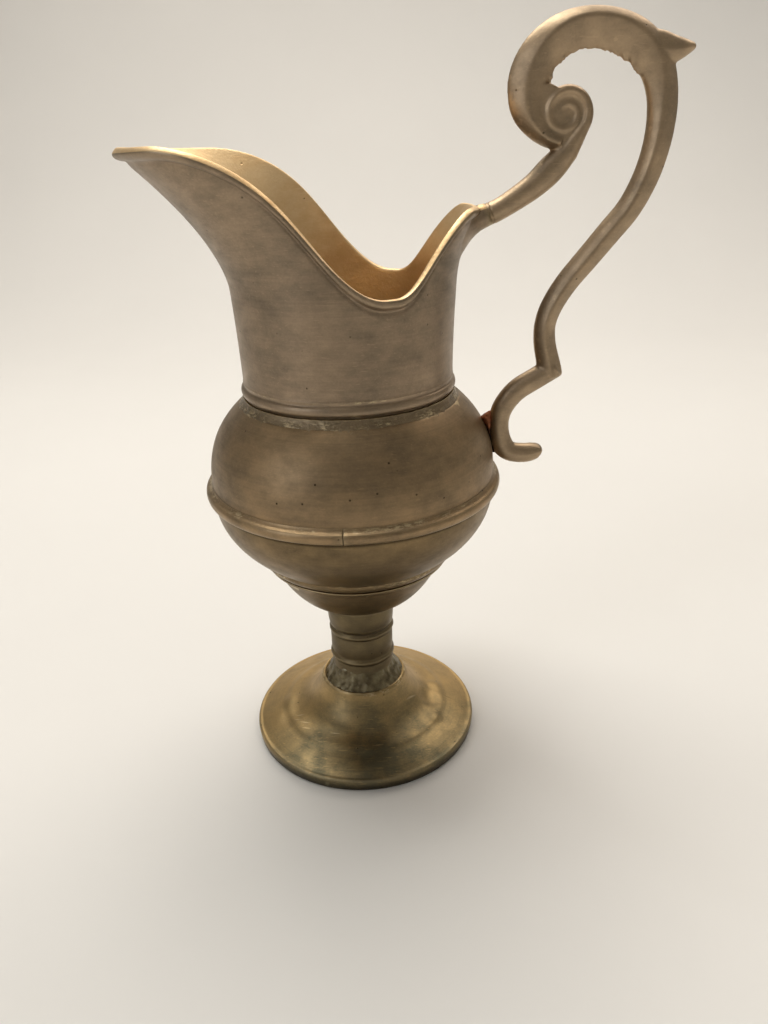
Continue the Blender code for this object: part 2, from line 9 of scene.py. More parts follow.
import bpy
from mathutils import Matrix, Vector


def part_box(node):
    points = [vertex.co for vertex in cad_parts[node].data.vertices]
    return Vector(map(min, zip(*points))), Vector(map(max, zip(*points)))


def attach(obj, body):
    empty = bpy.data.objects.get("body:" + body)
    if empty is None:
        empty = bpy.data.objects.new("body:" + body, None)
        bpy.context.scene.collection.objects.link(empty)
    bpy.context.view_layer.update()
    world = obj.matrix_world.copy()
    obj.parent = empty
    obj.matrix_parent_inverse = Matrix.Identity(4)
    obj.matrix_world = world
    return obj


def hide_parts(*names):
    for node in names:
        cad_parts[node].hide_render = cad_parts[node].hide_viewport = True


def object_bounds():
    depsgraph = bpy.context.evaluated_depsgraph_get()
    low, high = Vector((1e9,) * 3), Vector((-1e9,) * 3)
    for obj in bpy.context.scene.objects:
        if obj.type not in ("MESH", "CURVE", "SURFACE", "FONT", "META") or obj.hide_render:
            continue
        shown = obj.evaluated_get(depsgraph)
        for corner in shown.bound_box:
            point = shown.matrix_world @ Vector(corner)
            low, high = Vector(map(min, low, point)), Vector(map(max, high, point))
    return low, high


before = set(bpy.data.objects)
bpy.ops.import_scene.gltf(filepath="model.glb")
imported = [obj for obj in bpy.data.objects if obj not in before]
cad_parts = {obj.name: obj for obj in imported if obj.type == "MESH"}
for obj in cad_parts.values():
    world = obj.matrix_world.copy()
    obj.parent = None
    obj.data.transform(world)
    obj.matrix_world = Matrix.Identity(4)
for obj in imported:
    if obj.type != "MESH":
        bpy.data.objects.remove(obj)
cad_low, cad_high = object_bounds()


# Studio: a sweep of pale matt paper under and behind the ewer, which stands on it by its foot.
# Soft boxes hang behind, above and in front, and the camera stands and tilts as the photograph's did.
MM = 0.001
PAPER_COLOUR = "E4E3E0"
PAPER_SHADE = "DEDDDA"
PAPER_SIDE = 3.2            # metres
PAPER_BACK = 1.3            # metres behind the ewer, where the paper turns up
PAPER_BEND = 0.7            # metres
PAPER_BEND_STEPS = 24
PAPER_CLOUDS = 220          # millimetres across
PAPER_ROUGHNESS = 0.9
CAMERA_PLACE = Vector((20.6, -260.9, 214.8)) * MM   # from the middle of the foot
CAMERA_TURN = math.radians(2.2)
CAMERA_TILT = math.radians(24.94)
CAMERA_ROLL = math.radians(2.01)
CAMERA_NEAR = 0.01          # metres
FOCAL_PIXELS = 774.9
PICTURE_HEIGHT = 1024
# Name, place in metres from the ewer, width, height, watts and colour.
SOFT_BOXES = [
    ("back_box", (0.2, 0.75, 1.1), 1.4, 0.7, 8.0, "FFF4E8"),
    ("top_box", (-0.25, 0.2, 1.15), 0.6, 0.6, 7.5, "FFFCF6"),
    ("front_box", (-0.9, -0.75, 0.6), 0.4, 1.0, 2.5, "F2F6FF"),
]
ROOM_COLOUR = "F2F3F5"
ROOM_LIGHT = 0.22

foot_low, foot_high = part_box("foot")
axis = Vector(((foot_low.x + foot_high.x) / 2, 0, 0))
scene = bpy.context.scene
scene.view_settings.view_transform = "Standard"


def linear(colour):
    """A hex sRGB colour as linear RGBA."""
    parts = [int(colour[i:i + 2], 16) / 255 for i in (0, 2, 4)]
    return [p / 12.92 if p <= 0.04045 else ((p + 0.055) / 1.055) ** 2.4 for p in parts] + [1]


def set_inputs(tree, node, inputs):
    """Sets a node's inputs, each given as a value or as a socket to link from."""
    for name, value in inputs.items():
        if isinstance(value, bpy.types.NodeSocket):
            tree.links.new(value, node.inputs[name])
        else:
            node.inputs[name].default_value = value


def add_node(tree, kind, inputs, **settings):
    """A new node with its settings and inputs."""
    made = tree.nodes.new("ShaderNode" + kind)
    for name, value in settings.items():
        setattr(made, name, value)
    set_inputs(tree, made, inputs)
    return made


def per(size):
    """Scale of a pattern whose features are that many millimetres apart."""
    return 1 / (size * MM)


def new_material(name):
    """An empty material with a Principled shader, and its node tree and shader."""
    made = bpy.data.materials.new(name)
    made.use_nodes = True
    return made, made.node_tree, made.node_tree.nodes["Principled BSDF"]


camera = bpy.data.objects.new("camera", bpy.data.cameras.new("camera"))
camera.data.lens = camera.data.sensor_width * FOCAL_PIXELS / PICTURE_HEIGHT
camera.data.clip_start = CAMERA_NEAR
turn = Matrix.Rotation(CAMERA_TURN, 4, "Z") @ Matrix.Rotation(math.pi / 2 - CAMERA_TILT, 4, "X")
place = Matrix.Translation(axis + CAMERA_PLACE)
camera.matrix_world = place @ turn @ Matrix.Rotation(-CAMERA_ROLL, 4, "Z")
scene.collection.objects.link(camera)
scene.camera = camera

bpy.ops.object.select_all(action="DESELECT")
bpy.ops.mesh.primitive_plane_add(size=PAPER_SIDE, location=(0, PAPER_BACK - PAPER_SIDE / 2, 0))
paper = bpy.context.object
paper.name = "paper_sweep"
bpy.ops.object.transform_apply(location=True)
for edge in paper.data.edges:
    edge.select = all(paper.data.vertices[i].co.y > PAPER_BACK - MM for i in edge.vertices)
for face in paper.data.polygons:
    face.select = False
bpy.ops.object.mode_set(mode="EDIT")
bpy.ops.mesh.select_mode(type="EDGE")
bpy.ops.mesh.extrude_region_move(TRANSFORM_OT_translate={"value": (0, 0, PAPER_SIDE / 2)})
bpy.ops.object.mode_set(mode="OBJECT")
for edge in paper.data.edges:
    ends = [paper.data.vertices[i].co for i in edge.vertices]
    edge.select = all(end.y > PAPER_BACK - MM and end.z < MM for end in ends)
bpy.ops.object.mode_set(mode="EDIT")
bpy.ops.mesh.bevel(offset=PAPER_BEND, segments=PAPER_BEND_STEPS)
bpy.ops.object.mode_set(mode="OBJECT")
bpy.ops.object.shade_smooth()

# Uncoated paper: matt, with a very faint cloudiness.
paper_matt, tree, shader = new_material("uncoated_paper")
coords = add_node(tree, "TexCoord", {})
clouds = add_node(
    tree, "TexNoise", {"Vector": coords.outputs["Object"], "Scale": per(PAPER_CLOUDS), "Detail": 3}
)
tint = add_node(
    tree, "Mix", {0: clouds.outputs[0], 6: linear(PAPER_COLOUR), 7: linear(PAPER_SHADE)}, data_type="RGBA"
)
set_inputs(tree, shader, {"Base Color": tint.outputs[2], "Roughness": PAPER_ROUGHNESS})
paper.data.materials.append(paper_matt)

aim = axis + Vector((0, 0, (cad_low.z + cad_high.z) / 2))
for name, spot, width, height, watts, colour in SOFT_BOXES:
    lamp = bpy.data.objects.new(name, bpy.data.lights.new(name, "AREA"))
    lamp.data.shape = "RECTANGLE"
    lamp.data.size = width
    lamp.data.size_y = height
    lamp.data.energy = watts
    lamp.data.color = linear(colour)[:3]
    lamp.location = axis + Vector(spot)
    lamp.rotation_euler = (aim - lamp.location).to_track_quat("-Z", "Y").to_euler()
    scene.collection.objects.link(lamp)

world = bpy.data.worlds.new("room")
scene.world = world
world.use_nodes = True
world.node_tree.nodes["Background"].inputs["Color"].default_value = linear(ROOM_COLOUR)
world.node_tree.nodes["Background"].inputs["Strength"].default_value = ROOM_LIGHT


# Foot: a hollow brass casting turned on the lathe, with a raised edge, a brim, a soft step, a hollow-sided
# dome and a socket for the stem. Brushed, dented and scratched, with painted shade that makes its front
# greenish-grey and its lower edge dark.
FOOT_RADIUS = (foot_high.y - foot_low.y) / 2 / MM
FOOT_HEIGHT = foot_high.z / MM
SOCKET_BORE = 14.8
SOCKET_FLOOR = 18.0
FLOOR_UNDER = 15.5
LIP_RADIUS = 17
LIP_FALL = 0.4              # from the socket's lip to where the dome begins
ROD_HOLE = 4.3
STEP_RADIUS = 30.5
STEP_HEIGHT = 9.2
EDGE_HEIGHT = 4.4
EDGE_BEAD = 1.5
REST_RADIUS = FOOT_RADIUS - 0.6
REST_RING = 2.2
# Radius and height of the points that pull the outline's curves.
DOME_PULL = (20.2, STEP_HEIGHT + 2.4)
BRIM_PULL = (38.5, EDGE_HEIGHT + 2)
HOLLOW_PULL = (35, 5.2)
VAULT_PULL = (19, 9.6)
LIP_PULL = (16, FOOT_HEIGHT + 2 * LIP_FALL)
TURN_STEPS = 192
MERGE = 0.005 * MM
BARE_METAL_AND_SHEEN = "CFBD98"     # bare metal in fresh scratches and file marks, and on worn edges, where it is partly a painted highlight
# Dents: how far out to the right and to the back of the axis, how wide and how deep.
FOOT_DENTS = [
    (28.8, 6.5, 4, 0.5), (29, -13.5, 4, 0.45), (27, -3.5, 6, -0.7), (-29, -12, 6, -0.4), (-31.5, -2, 5, 0.3),
    (4, -31, 8, -0.4),
]
# Scores: the ends of each, right and back of the axis, its width, and whether it shines.
FOOT_SCORES = [
    (17, -11.2, 21.7, -4.9, 0.7, True), (31.7, 1.2, 37.6, -0.8, 0.5, False),
    (39.1, -3, 41.5, -4.3, 0.6, False), (-27.6, -12.2, -23.6, -13, 0.7, True),
    (-26, -16, -20.2, -18.2, 0.7, True), (-24.6, -19.4, -20, -20.8, 0.6, True),
    (-28.3, -14.3, -25, -15, 0.6, True), (-13, -24, -8, -25, 0.5, True), (4, -30, 9, -29.4, 0.5, True),
    (-16.5, -2, -15.5, -5.8, 1.1, True), (-15.5, -5.4, -13.5, -9.4, 1.3, True),
    (-14.2, -8.4, -11, -12.6, 1.2, True), (-11.8, -11.6, -7.6, -14.8, 1, True),
    (-8.4, -14.2, -3.4, -16.2, 1.2, True), (-3.8, -16, 1.6, -16.5, 0.9, True),
    (1, -16.5, 4.8, -15.8, 1, True),
]
# Pits: right and back of the axis, and up.
FOOT_PITS = [(-34.4, -10.9, 6.4), (-41.4, 8, 4.7), (3, -22.5, 11.4), (8, -36, 6), (24, -30, 5.6)]
DENT_SLOPE = 0.2            # a dent moves only what points up more than this
# Sizes of the brass's patterns and depths of its marks.
TURNING_PITCH = 0.9
SMUDGE_SIZE = 7
GRAIN_SIZE = 0.7
HAIR_WIDTH = 0.5
SAND_GRAIN = 1.3
STREAK_SIZE = 2.2
PIT_SPACING = 4.5
PIT_RADIUS = 0.45
PIT_DEPTH = 0.15
TURNING_DEPTH = 0.05
GRAIN_DEPTH = 0.03
FRONT_SHADE_START = -38          # back of the axis, where the painted shade on a front begins to thin out
FRONT_SHADE_END = 16            # and where it ends


def bow(start, pull, end, count):
    """Points on a quadratic curve, both ends included."""
    points = []
    for i in range(count):
        t = i / (count - 1)
        points.append(tuple(
            (1 - t) ** 2 * s + 2 * t * (1 - t) * p + t * t * e for s, p, e in zip(start, pull, end)
        ))
    return points


def turned(name, outline, closed=True, steps=TURN_STEPS, start=0, sweep=2 * math.pi):
    """An outline of (radius, height) points, extruded point by point and spun round the vessel's axis."""
    bpy.ops.object.select_all(action="DESELECT")
    way = Vector((math.cos(start), math.sin(start), 0))
    points = [axis + way * r * MM + Vector((0, 0, z * MM)) for r, z in outline]
    bpy.ops.mesh.primitive_plane_add(size=MM, location=points[0], enter_editmode=True)
    bpy.ops.mesh.select_mode(type="VERT")
    bpy.ops.mesh.merge(type="CENTER")
    for before, after in zip(points, points[1:] + points[:1] if closed else points[1:]):
        bpy.ops.mesh.extrude_region_move(TRANSFORM_OT_translate={"value": after - before})
    bpy.ops.mesh.select_all(action="SELECT")
    bpy.ops.mesh.remove_doubles(threshold=MERGE)
    bpy.ops.mesh.spin(steps=steps, angle=sweep, center=axis, axis=(0, 0, 1))
    bpy.ops.mesh.select_all(action="SELECT")
    bpy.ops.mesh.remove_doubles(threshold=MERGE)
    bpy.ops.mesh.normals_make_consistent(inside=False)
    bpy.ops.object.mode_set(mode="OBJECT")
    bpy.ops.object.transform_apply(location=True)
    piece = bpy.context.object
    piece.name = piece.data.name = name
    return piece


def apply_modifier(piece, kind, **settings):
    """Adds a modifier to a piece and applies it."""
    bpy.context.view_layer.objects.active = piece
    step = piece.modifiers.new(kind.lower(), kind)
    for name, value in settings.items():
        setattr(step, name, value)
    bpy.ops.object.modifier_apply(modifier=step.name)


def ease_edges(piece, width):
    """Rounds a piece's sharp edges and shades the rest smooth."""
    apply_modifier(
        piece, "BEVEL", width=width * MM, segments=3, limit_method="ANGLE", angle_limit=math.radians(24)
    )
    piece.data.shade_smooth()


def wander(piece, size, depth):
    """Pushes a surface in and out a little, in soft swellings of about that size."""
    swells = bpy.data.textures.new(piece.name + "_swells", "CLOUDS")
    swells.noise_scale = size * MM
    swells.noise_depth = 1
    apply_modifier(piece, "DISPLACE", texture=swells, texture_coords="LOCAL", strength=depth * MM)


def dent(piece, right, back, reach, depth):
    """Pushes the upper side of a piece up or down round one spot."""
    spot = axis + Vector((right, back, 0)) * MM
    for vertex in piece.data.vertices:
        away = (vertex.co.xy - spot.xy).length / (reach * MM)
        if away < 1 and vertex.normal.z > DENT_SLOPE:
            vertex.co += vertex.normal * depth * MM * (1 - away**2) ** 2


dome = bow((LIP_RADIUS, FOOT_HEIGHT - LIP_FALL), DOME_PULL, (STEP_RADIUS - 1.2, STEP_HEIGHT + 0.2), 24)
step = bow(
    (STEP_RADIUS - 0.3, STEP_HEIGHT), (STEP_RADIUS + 1.2, STEP_HEIGHT - 0.3),
    (STEP_RADIUS + 2.4, STEP_HEIGHT - 1), 6,
)
bead_start = FOOT_RADIUS - EDGE_BEAD
brim = bow((STEP_RADIUS + 3.4, STEP_HEIGHT - 1.45), BRIM_PULL, (bead_start - 0.4, EDGE_HEIGHT + 0.25), 12)
bead = bow(
    (bead_start, EDGE_HEIGHT + 0.15), (FOOT_RADIUS, EDGE_HEIGHT + 0.4), (FOOT_RADIUS, EDGE_HEIGHT - 1.2), 7
)
rest = [(FOOT_RADIUS - 0.3, 0.6), (REST_RADIUS, 0), (REST_RADIUS - REST_RING, 0)]
hollow = bow((REST_RADIUS - REST_RING - 0.4, 2.2), HOLLOW_PULL, (STEP_RADIUS - 0.4, 6.4), 8)
hollow += bow((STEP_RADIUS - 1.6, 7.2), VAULT_PULL, (LIP_RADIUS, FLOOR_UNDER - 0.8), 10)
socket = [(SOCKET_BORE, FLOOR_UNDER), (ROD_HOLE, FLOOR_UNDER), (ROD_HOLE, SOCKET_FLOOR)]
socket += [(SOCKET_BORE, SOCKET_FLOOR), (SOCKET_BORE, FOOT_HEIGHT - 2 * LIP_FALL)]
socket += bow((SOCKET_BORE + 0.4, FOOT_HEIGHT - LIP_FALL), LIP_PULL, (LIP_RADIUS - 0.4, FOOT_HEIGHT), 6)
foot = turned("turned_foot", dome + step + brim + bead + rest + hollow + socket)
ease_edges(foot, width=0.12)
for right, back, reach, depth in FOOT_DENTS:
    dent(foot, right, back, reach, depth)


def aged_brass(name, bright, patina, grime_and_shade, blotch=30, rings=0.3, cast=0, rough=(0.36, 0.48), front=0,
               edges=BARE_METAL_AND_SHEEN, shaded_seams=(), filed=(), scores=(), spots=()):
    """Unlacquered brass, handled for many years: a soft smudged patina over a satin gold, faint turning
    marks, hairline scratches and dark pits, worn bright on the edges, where a painted highlight brightens
    them further, painted shade in the corners and at the seams, rough bright file marks at the filed
    heights, and painted shade that darkens the front. Turning marks and sand grain are drawn coarser than
    the real ones, which would be too fine to show. Seams and filed bands are given by height and reach,
    scores and spots by their places from the axis."""
    made, tree, shader = new_material(name)
    coords = add_node(tree, "TexCoord", {})
    centred = add_node(tree, "Mapping", {"Vector": coords.outputs["Object"], "Location": -axis}).outputs[0]
    parts = add_node(tree, "SeparateXYZ", {"Vector": centred})
    level = add_node(tree, "CombineXYZ", {"X": parts.outputs["X"], "Y": parts.outputs["Y"]})
    out = add_node(tree, "VectorMath", {0: level.outputs[0]}, operation="LENGTH")
    lathe = add_node(tree, "CombineXYZ", {"X": out.outputs["Value"], "Z": parts.outputs["Z"]}).outputs[0]
    squat = add_node(tree, "Mapping", {"Vector": centred, "Scale": (1, 1, 1.7)}).outputs[0]
    slant = add_node(
        tree, "Mapping", {"Vector": centred, "Rotation": (0.4, 0.9, 0.3), "Scale": (0.06, 1, 1)}
    ).outputs[0]
    marks = add_node(
        tree, "TexNoise", {"Vector": lathe, "Scale": per(TURNING_PITCH), "Detail": 3, "Roughness": 0.7}
    )
    blotches = add_node(
        tree, "TexNoise", {"Vector": centred, "Scale": per(blotch), "Detail": 3, "Distortion": 0.4}
    )
    smudges = add_node(
        tree, "TexNoise", {"Vector": squat, "Scale": per(SMUDGE_SIZE), "Detail": 5, "Roughness": 0.6}
    )
    grain = add_node(tree, "TexNoise", {"Vector": centred, "Scale": per(GRAIN_SIZE), "Detail": 2})
    hairs = add_node(tree, "TexNoise", {"Vector": slant, "Scale": per(HAIR_WIDTH), "Detail": 1})
    sand = add_node(
        tree, "TexNoise", {"Vector": centred, "Scale": per(SAND_GRAIN), "Detail": 3, "Roughness": 0.6}
    )
    layers = ((blotches, 1.0), (smudges, 0.9), (grain, 0.3), (marks, rings))
    tone = 0.5 - sum(weight for layer, weight in layers) / 2
    for layer, weight in layers:
        tone = add_node(
            tree, "Math", {0: layer.outputs[0], 1: weight, 2: tone}, operation="MULTIPLY_ADD"
        ).outputs[0]
    # Painted shade: the tone slides towards the patina at the front, which reads darker and greener.
    if front:
        side = add_node(
            tree, "MapRange",
            {"Value": parts.outputs["Y"], "From Min": FRONT_SHADE_START * MM, "From Max": FRONT_SHADE_END * MM,
             "To Min": front, "To Max": -front},
        )
        tone = add_node(tree, "Math", {0: tone, 1: side.outputs[0]}, operation="ADD").outputs[0]
    cells = add_node(tree, "TexVoronoi", {"Vector": centred, "Scale": per(PIT_SPACING)})
    chance = add_node(tree, "SeparateColor", {"Color": cells.outputs["Color"]})
    shown = add_node(tree, "Math", {0: chance.outputs[0], 1: 0.6}, operation="GREATER_THAN")
    dot = add_node(
        tree, "MapRange",
        {"Value": cells.outputs["Distance"], "From Min": 0.04, "From Max": 0.1, "To Min": 0.8, "To Max": 0},
    )
    pits = add_node(tree, "Math", {0: dot.outputs[0], 1: shown.outputs[0]}, operation="MULTIPLY")
    scratch = add_node(
        tree, "MapRange", {"Value": hairs.outputs[0], "From Min": 0.64, "From Max": 0.74, "To Max": 0.4}
    )
    form = add_node(tree, "NewGeometry", {}).outputs["Pointiness"]
    # Painted highlight with wear: convex edges take the bright bare-metal colour.
    edge_wear_and_sheen = add_node(tree, "MapRange", {"Value": form, "From Min": 0.515, "From Max": 0.58, "To Max": 0.6})
    # Painted shade: hollows and creases take the dark grime colour.
    crease_shade = add_node(tree, "MapRange", {"Value": form, "From Min": 0.48, "From Max": 0.42, "To Max": 0.5})
    coats = [(scratch.outputs[0], bright), (edge_wear_and_sheen.outputs[0], edges)]
    coats += [(crease_shade.outputs[0], grime_and_shade), (pits.outputs[0], grime_and_shade)]
    flat = add_node(tree, "Mapping", {"Vector": centred, "Scale": (1, 1, 4)}).outputs[0]
    streaks = add_node(
        tree, "TexNoise", {"Vector": flat, "Scale": per(STREAK_SIZE), "Detail": 4, "Roughness": 0.7}
    )
    patchy = add_node(
        tree, "Math", {0: blotches.outputs[0], 1: 0.9, 2: streaks.outputs[0]}, operation="MULTIPLY_ADD"
    )
    flecks = add_node(tree, "MapRange", {"Value": patchy.outputs[0], "From Min": 0.97, "From Max": 1.12})
    # Painted shade in bands at the seams' heights, and bright file flecks at the filed heights.
    for height, reach, coat in [(*seam, grime_and_shade) for seam in shaded_seams] + [(*band, BARE_METAL_AND_SHEEN) for band in filed]:
        gap = add_node(tree, "Math", {0: parts.outputs["Z"], 1: height * MM}, operation="SUBTRACT")
        near = add_node(tree, "Math", {0: gap.outputs[0]}, operation="ABSOLUTE")
        share = add_node(
            tree, "MapRange",
            {"Value": near.outputs[0], "From Max": reach * MM, "To Min": 0.7, "To Max": 0},
            interpolation_type="SMOOTHSTEP",
        )
        if coat == BARE_METAL_AND_SHEEN:
            share = add_node(tree, "Math", {0: share.outputs[0], 1: flecks.outputs[0]}, operation="MULTIPLY")
        coats.append((share.outputs[0], coat))
    for spot in spots:
        placed = add_node(
            tree, "Mapping",
            {"Vector": centred, "Location": Vector(spot) * MM, "Scale": (PIT_RADIUS * MM,) * 3},
            vector_type="TEXTURE",
        )
        away = add_node(tree, "VectorMath", {0: placed.outputs[0]}, operation="LENGTH")
        hole = add_node(
            tree, "MapRange",
            {"Value": away.outputs["Value"], "From Min": 0.5, "From Max": 1, "To Min": 0.9, "To Max": 0},
        )
        coats.append((hole.outputs[0], grime_and_shade))
    for right, back, far_right, far_back, width, shiny in scores:
        middle = Vector((right + far_right, back + far_back, 0)) / 2 * MM
        run = Vector((far_right - right, far_back - back))
        placed = add_node(
            tree, "Mapping",
            {"Vector": centred, "Location": middle, "Rotation": (0, 0, math.atan2(run.y, run.x)),
             "Scale": (run.length / 2 * MM, width / 2 * MM, 1)},
            vector_type="TEXTURE",
        )
        away = add_node(tree, "VectorMath", {0: placed.outputs[0]}, operation="LENGTH")
        line = add_node(
            tree, "MapRange", {"Value": away.outputs["Value"], "From Max": 1, "To Min": 0.6, "To Max": 0}
        )
        coats.append((line.outputs[0], BARE_METAL_AND_SHEEN if shiny else grime_and_shade))
    colour = add_node(tree, "Mix", {0: tone, 6: linear(bright), 7: linear(patina)}, data_type="RGBA")
    for share, coat in coats:
        colour = add_node(
            tree, "Mix", {0: share, 6: colour.outputs[2], 7: linear(coat)}, data_type="RGBA"
        )
    dull = add_node(
        tree, "MapRange",
        {"Value": smudges.outputs[0], "From Min": 0.3, "From Max": 0.7,
         "To Min": rough[0], "To Max": rough[1]},
    )
    bumps = add_node(
        tree, "Bump", {"Height": marks.outputs[0], "Distance": TURNING_DEPTH * MM, "Strength": rings}
    )
    for layer, depth in ((grain, GRAIN_DEPTH), (sand, cast), (pits, -PIT_DEPTH)):
        if depth:
            bumps = add_node(
                tree, "Bump",
                {"Height": layer.outputs[0], "Distance": abs(depth) * MM, "Normal": bumps.outputs[0]},
                invert=depth < 0,
            )
    set_inputs(tree, shader, {
        "Base Color": colour.outputs[2], "Metallic": 1, "Roughness": dull.outputs[0],
        "Normal": bumps.outputs[0],
    })
    return made


# Brushed brass: a worn gold with bright scores, with painted shade that turns it greenish-grey at the front
# and dark at its lower edge.
foot.data.materials.append(aged_brass(
    "brushed_brass", "B29666", "5E5A48", "2B281C", blotch=26, front=0.45, shaded_seams=((0.8, 3.2),),
    filed=((22.3, 1.2),), scores=FOOT_SCORES, spots=FOOT_PITS,
))
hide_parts("foot")
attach(foot, "root")


# Stem: a length of drawn brass tube with two shallow rings turned on it and a swelling under the cup.
# It stands in the foot's socket and is left dull and dark.
stem_low, stem_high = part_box("stem")
STEM_BASE = stem_low.z / MM
STEM_TOP = stem_high.z / MM
STEM_BORE = 9.5
STEM_RADIUS = 12.4
STEM_SWELL = 0.9
STEM_FOOT_RADIUS = 11.8
STEM_FOOT_HEIGHT = 28
RING_HEIGHTS = (45.2, 33.6)
RING_HALF = 1.1
stem_side = bow(
    (STEM_RADIUS, STEM_TOP), (STEM_RADIUS + STEM_SWELL, STEM_TOP - 6), (STEM_RADIUS - 0.1, STEM_TOP - 10), 10
)
for ring in RING_HEIGHTS:
    stem_side += [(STEM_RADIUS - 0.2, ring + 2 * RING_HALF), (STEM_RADIUS - 0.55, ring + 1.3 * RING_HALF)]
    stem_side += bow(
        (STEM_RADIUS - 0.35, ring + RING_HALF), (STEM_RADIUS + 0.95, ring),
        (STEM_RADIUS - 0.35, ring - RING_HALF), 8,
    )
    stem_side += [(STEM_RADIUS - 0.6, ring - 1.3 * RING_HALF), (STEM_RADIUS - 0.2, ring - 2 * RING_HALF)]
stem_side += [(STEM_FOOT_RADIUS, STEM_FOOT_HEIGHT), (STEM_FOOT_RADIUS, STEM_BASE)]
stem = turned("stem_tube", stem_side + [(STEM_BORE, STEM_BASE), (STEM_BORE, STEM_TOP)])
wander(stem, size=8, depth=0.4)
stem.data.shade_smooth()
# Drawn brass left dull: a dark brown patina with little gold showing, and painted shade under the cup.
stem.data.materials.append(aged_brass(
    "dull_drawn_brass", "7C6D50", "50483A", "221E15", blotch=14, rough=(0.38, 0.52), shaded_seams=((57.5, 1.2),),
))
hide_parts("stem")
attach(stem, "root")


# Solder: soft grey solder run into the socket round the stem and over the socket's lip in places.
# It set in lumps and was never filed.
solder_low, solder_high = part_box("stem_solder")
SOLDER_BASE = solder_low.z / MM
SOLDER_TOP = solder_high.z / MM
SOLDER_OUT = 15.9
SOLDER_PULL = (13.5, 25.2)
SOLDER_LUMP = 3
SOLDER_DARK = "554C3A"
SOLDER_PALE = "7D745B"
SOLDER_PAINTED_GLINT = "B3AF9C"
solder_run = bow(
    (STEM_FOOT_RADIUS - 0.8, SOLDER_TOP + 2.8), SOLDER_PULL, (SOLDER_OUT, FOOT_HEIGHT - 0.2), 18
)
solder_run += [(SOLDER_OUT - 0.3, FOOT_HEIGHT - 1), (SOCKET_BORE - 0.4, FOOT_HEIGHT - 1.4)]
solder_run += [(SOCKET_BORE - 0.4, SOLDER_BASE), (STEM_FOOT_RADIUS - 0.1, SOLDER_BASE)]
solder = turned("solder_run", solder_run)
wander(solder, size=6, depth=2)
wander(solder, size=2.2, depth=0.8)
solder.data.shade_smooth()


def solder_grey():
    """Soft lead-tin solder that set in lumps: a dull olive grey, with a painted glint, a pale colour, on its
    crests.
    """
    made, tree, shader = new_material("soft_solder")
    coords = add_node(tree, "TexCoord", {})
    lumps = add_node(
        tree, "TexNoise", {"Vector": coords.outputs["Object"], "Scale": per(SOLDER_LUMP), "Detail": 5}
    )
    dull = add_node(tree, "MapRange", {"Value": lumps.outputs[0], "From Min": 0.35, "From Max": 0.65})
    colour = add_node(
        tree, "Mix", {0: dull.outputs[0], 6: linear(SOLDER_DARK), 7: linear(SOLDER_PALE)}, data_type="RGBA"
    )
    # Painted glint: the solder's crests take a pale colour.
    form = add_node(tree, "NewGeometry", {}).outputs["Pointiness"]
    painted_glint = add_node(tree, "MapRange", {"Value": form, "From Min": 0.52, "From Max": 0.6})
    colour = add_node(
        tree, "Mix", {0: painted_glint.outputs[0], 6: colour.outputs[2], 7: linear(SOLDER_PAINTED_GLINT)}, data_type="RGBA"
    )
    bumps = add_node(tree, "Bump", {"Height": lumps.outputs[0], "Distance": 0.6 * MM})
    set_inputs(tree, shader, {
        "Base Color": colour.outputs[2], "Metallic": 1, "Roughness": 0.4, "Normal": bumps.outputs[0],
    })
    return made


solder.data.materials.append(solder_grey())
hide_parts("stem_solder")
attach(solder, "root")


# Tie rod, washer and nut: plain steel hardware inside the stem and under the foot's floor.
# The rod is threaded, and the nut draws foot, stem and cup together.
rod_low, rod_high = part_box("tie_rod")
washer_low, washer_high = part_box("foot_washer")
nut_low, nut_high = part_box("foot_nut")
ROD_RADIUS = (rod_high.y - rod_low.y) / 2 / MM
THREAD_PITCH = 1.25
THREAD_DEPTH = 0.5
HARDWARE_STEPS = 48
STEEL_COLOUR = "8C8984"
STAIN_COLOUR = "5A4A3C"
STAIN_SIZE = 4
thread = [(0, rod_high.z / MM)]
for i in range(int((rod_high.z - rod_low.z) / MM / THREAD_PITCH)):
    crest = rod_high.z / MM - (i + 0.5) * THREAD_PITCH
    thread += [(ROD_RADIUS - THREAD_DEPTH, crest + THREAD_PITCH / 2), (ROD_RADIUS, crest)]
thread += [(ROD_RADIUS - THREAD_DEPTH, rod_low.z / MM), (0, rod_low.z / MM)]
rod = turned("threaded_rod", thread, closed=False, steps=HARDWARE_STEPS)
rod.data.shade_smooth()

washer_radius = (washer_high.y - washer_low.y) / 2 / MM
ring = [(washer_radius, washer_high.z / MM), (washer_radius, washer_low.z / MM)]
ring += [(ROD_HOLE, washer_low.z / MM), (ROD_HOLE, washer_high.z / MM)]
washer = turned("flat_washer", ring, steps=HARDWARE_STEPS)
ease_edges(washer, width=0.2)

NUT_CORNER = (nut_high.y - nut_low.y) / 2
NUT_CHAMFER = 0.7 * MM
NUT_DRILL = 20 * MM
nut_middle = (nut_low + nut_high) / 2
bpy.ops.object.select_all(action="DESELECT")
bpy.ops.mesh.primitive_cylinder_add(
    vertices=HARDWARE_STEPS, radius=ROD_HOLE * MM, depth=NUT_DRILL, location=nut_middle
)
hole = bpy.context.object
bpy.ops.mesh.primitive_cylinder_add(
    vertices=6, radius=NUT_CORNER, depth=nut_high.z - nut_low.z, location=nut_middle, enter_editmode=True
)
bpy.ops.mesh.bevel(offset=NUT_CHAMFER, segments=2)
bpy.ops.object.mode_set(mode="OBJECT")
nut = bpy.context.object
nut.name = nut.data.name = "hex_nut"
apply_modifier(nut, "BOOLEAN", object=hole, operation="DIFFERENCE")
bpy.data.objects.remove(hole)
bpy.ops.object.select_all(action="DESELECT")
nut.select_set(True)
bpy.ops.object.transform_apply(location=True)


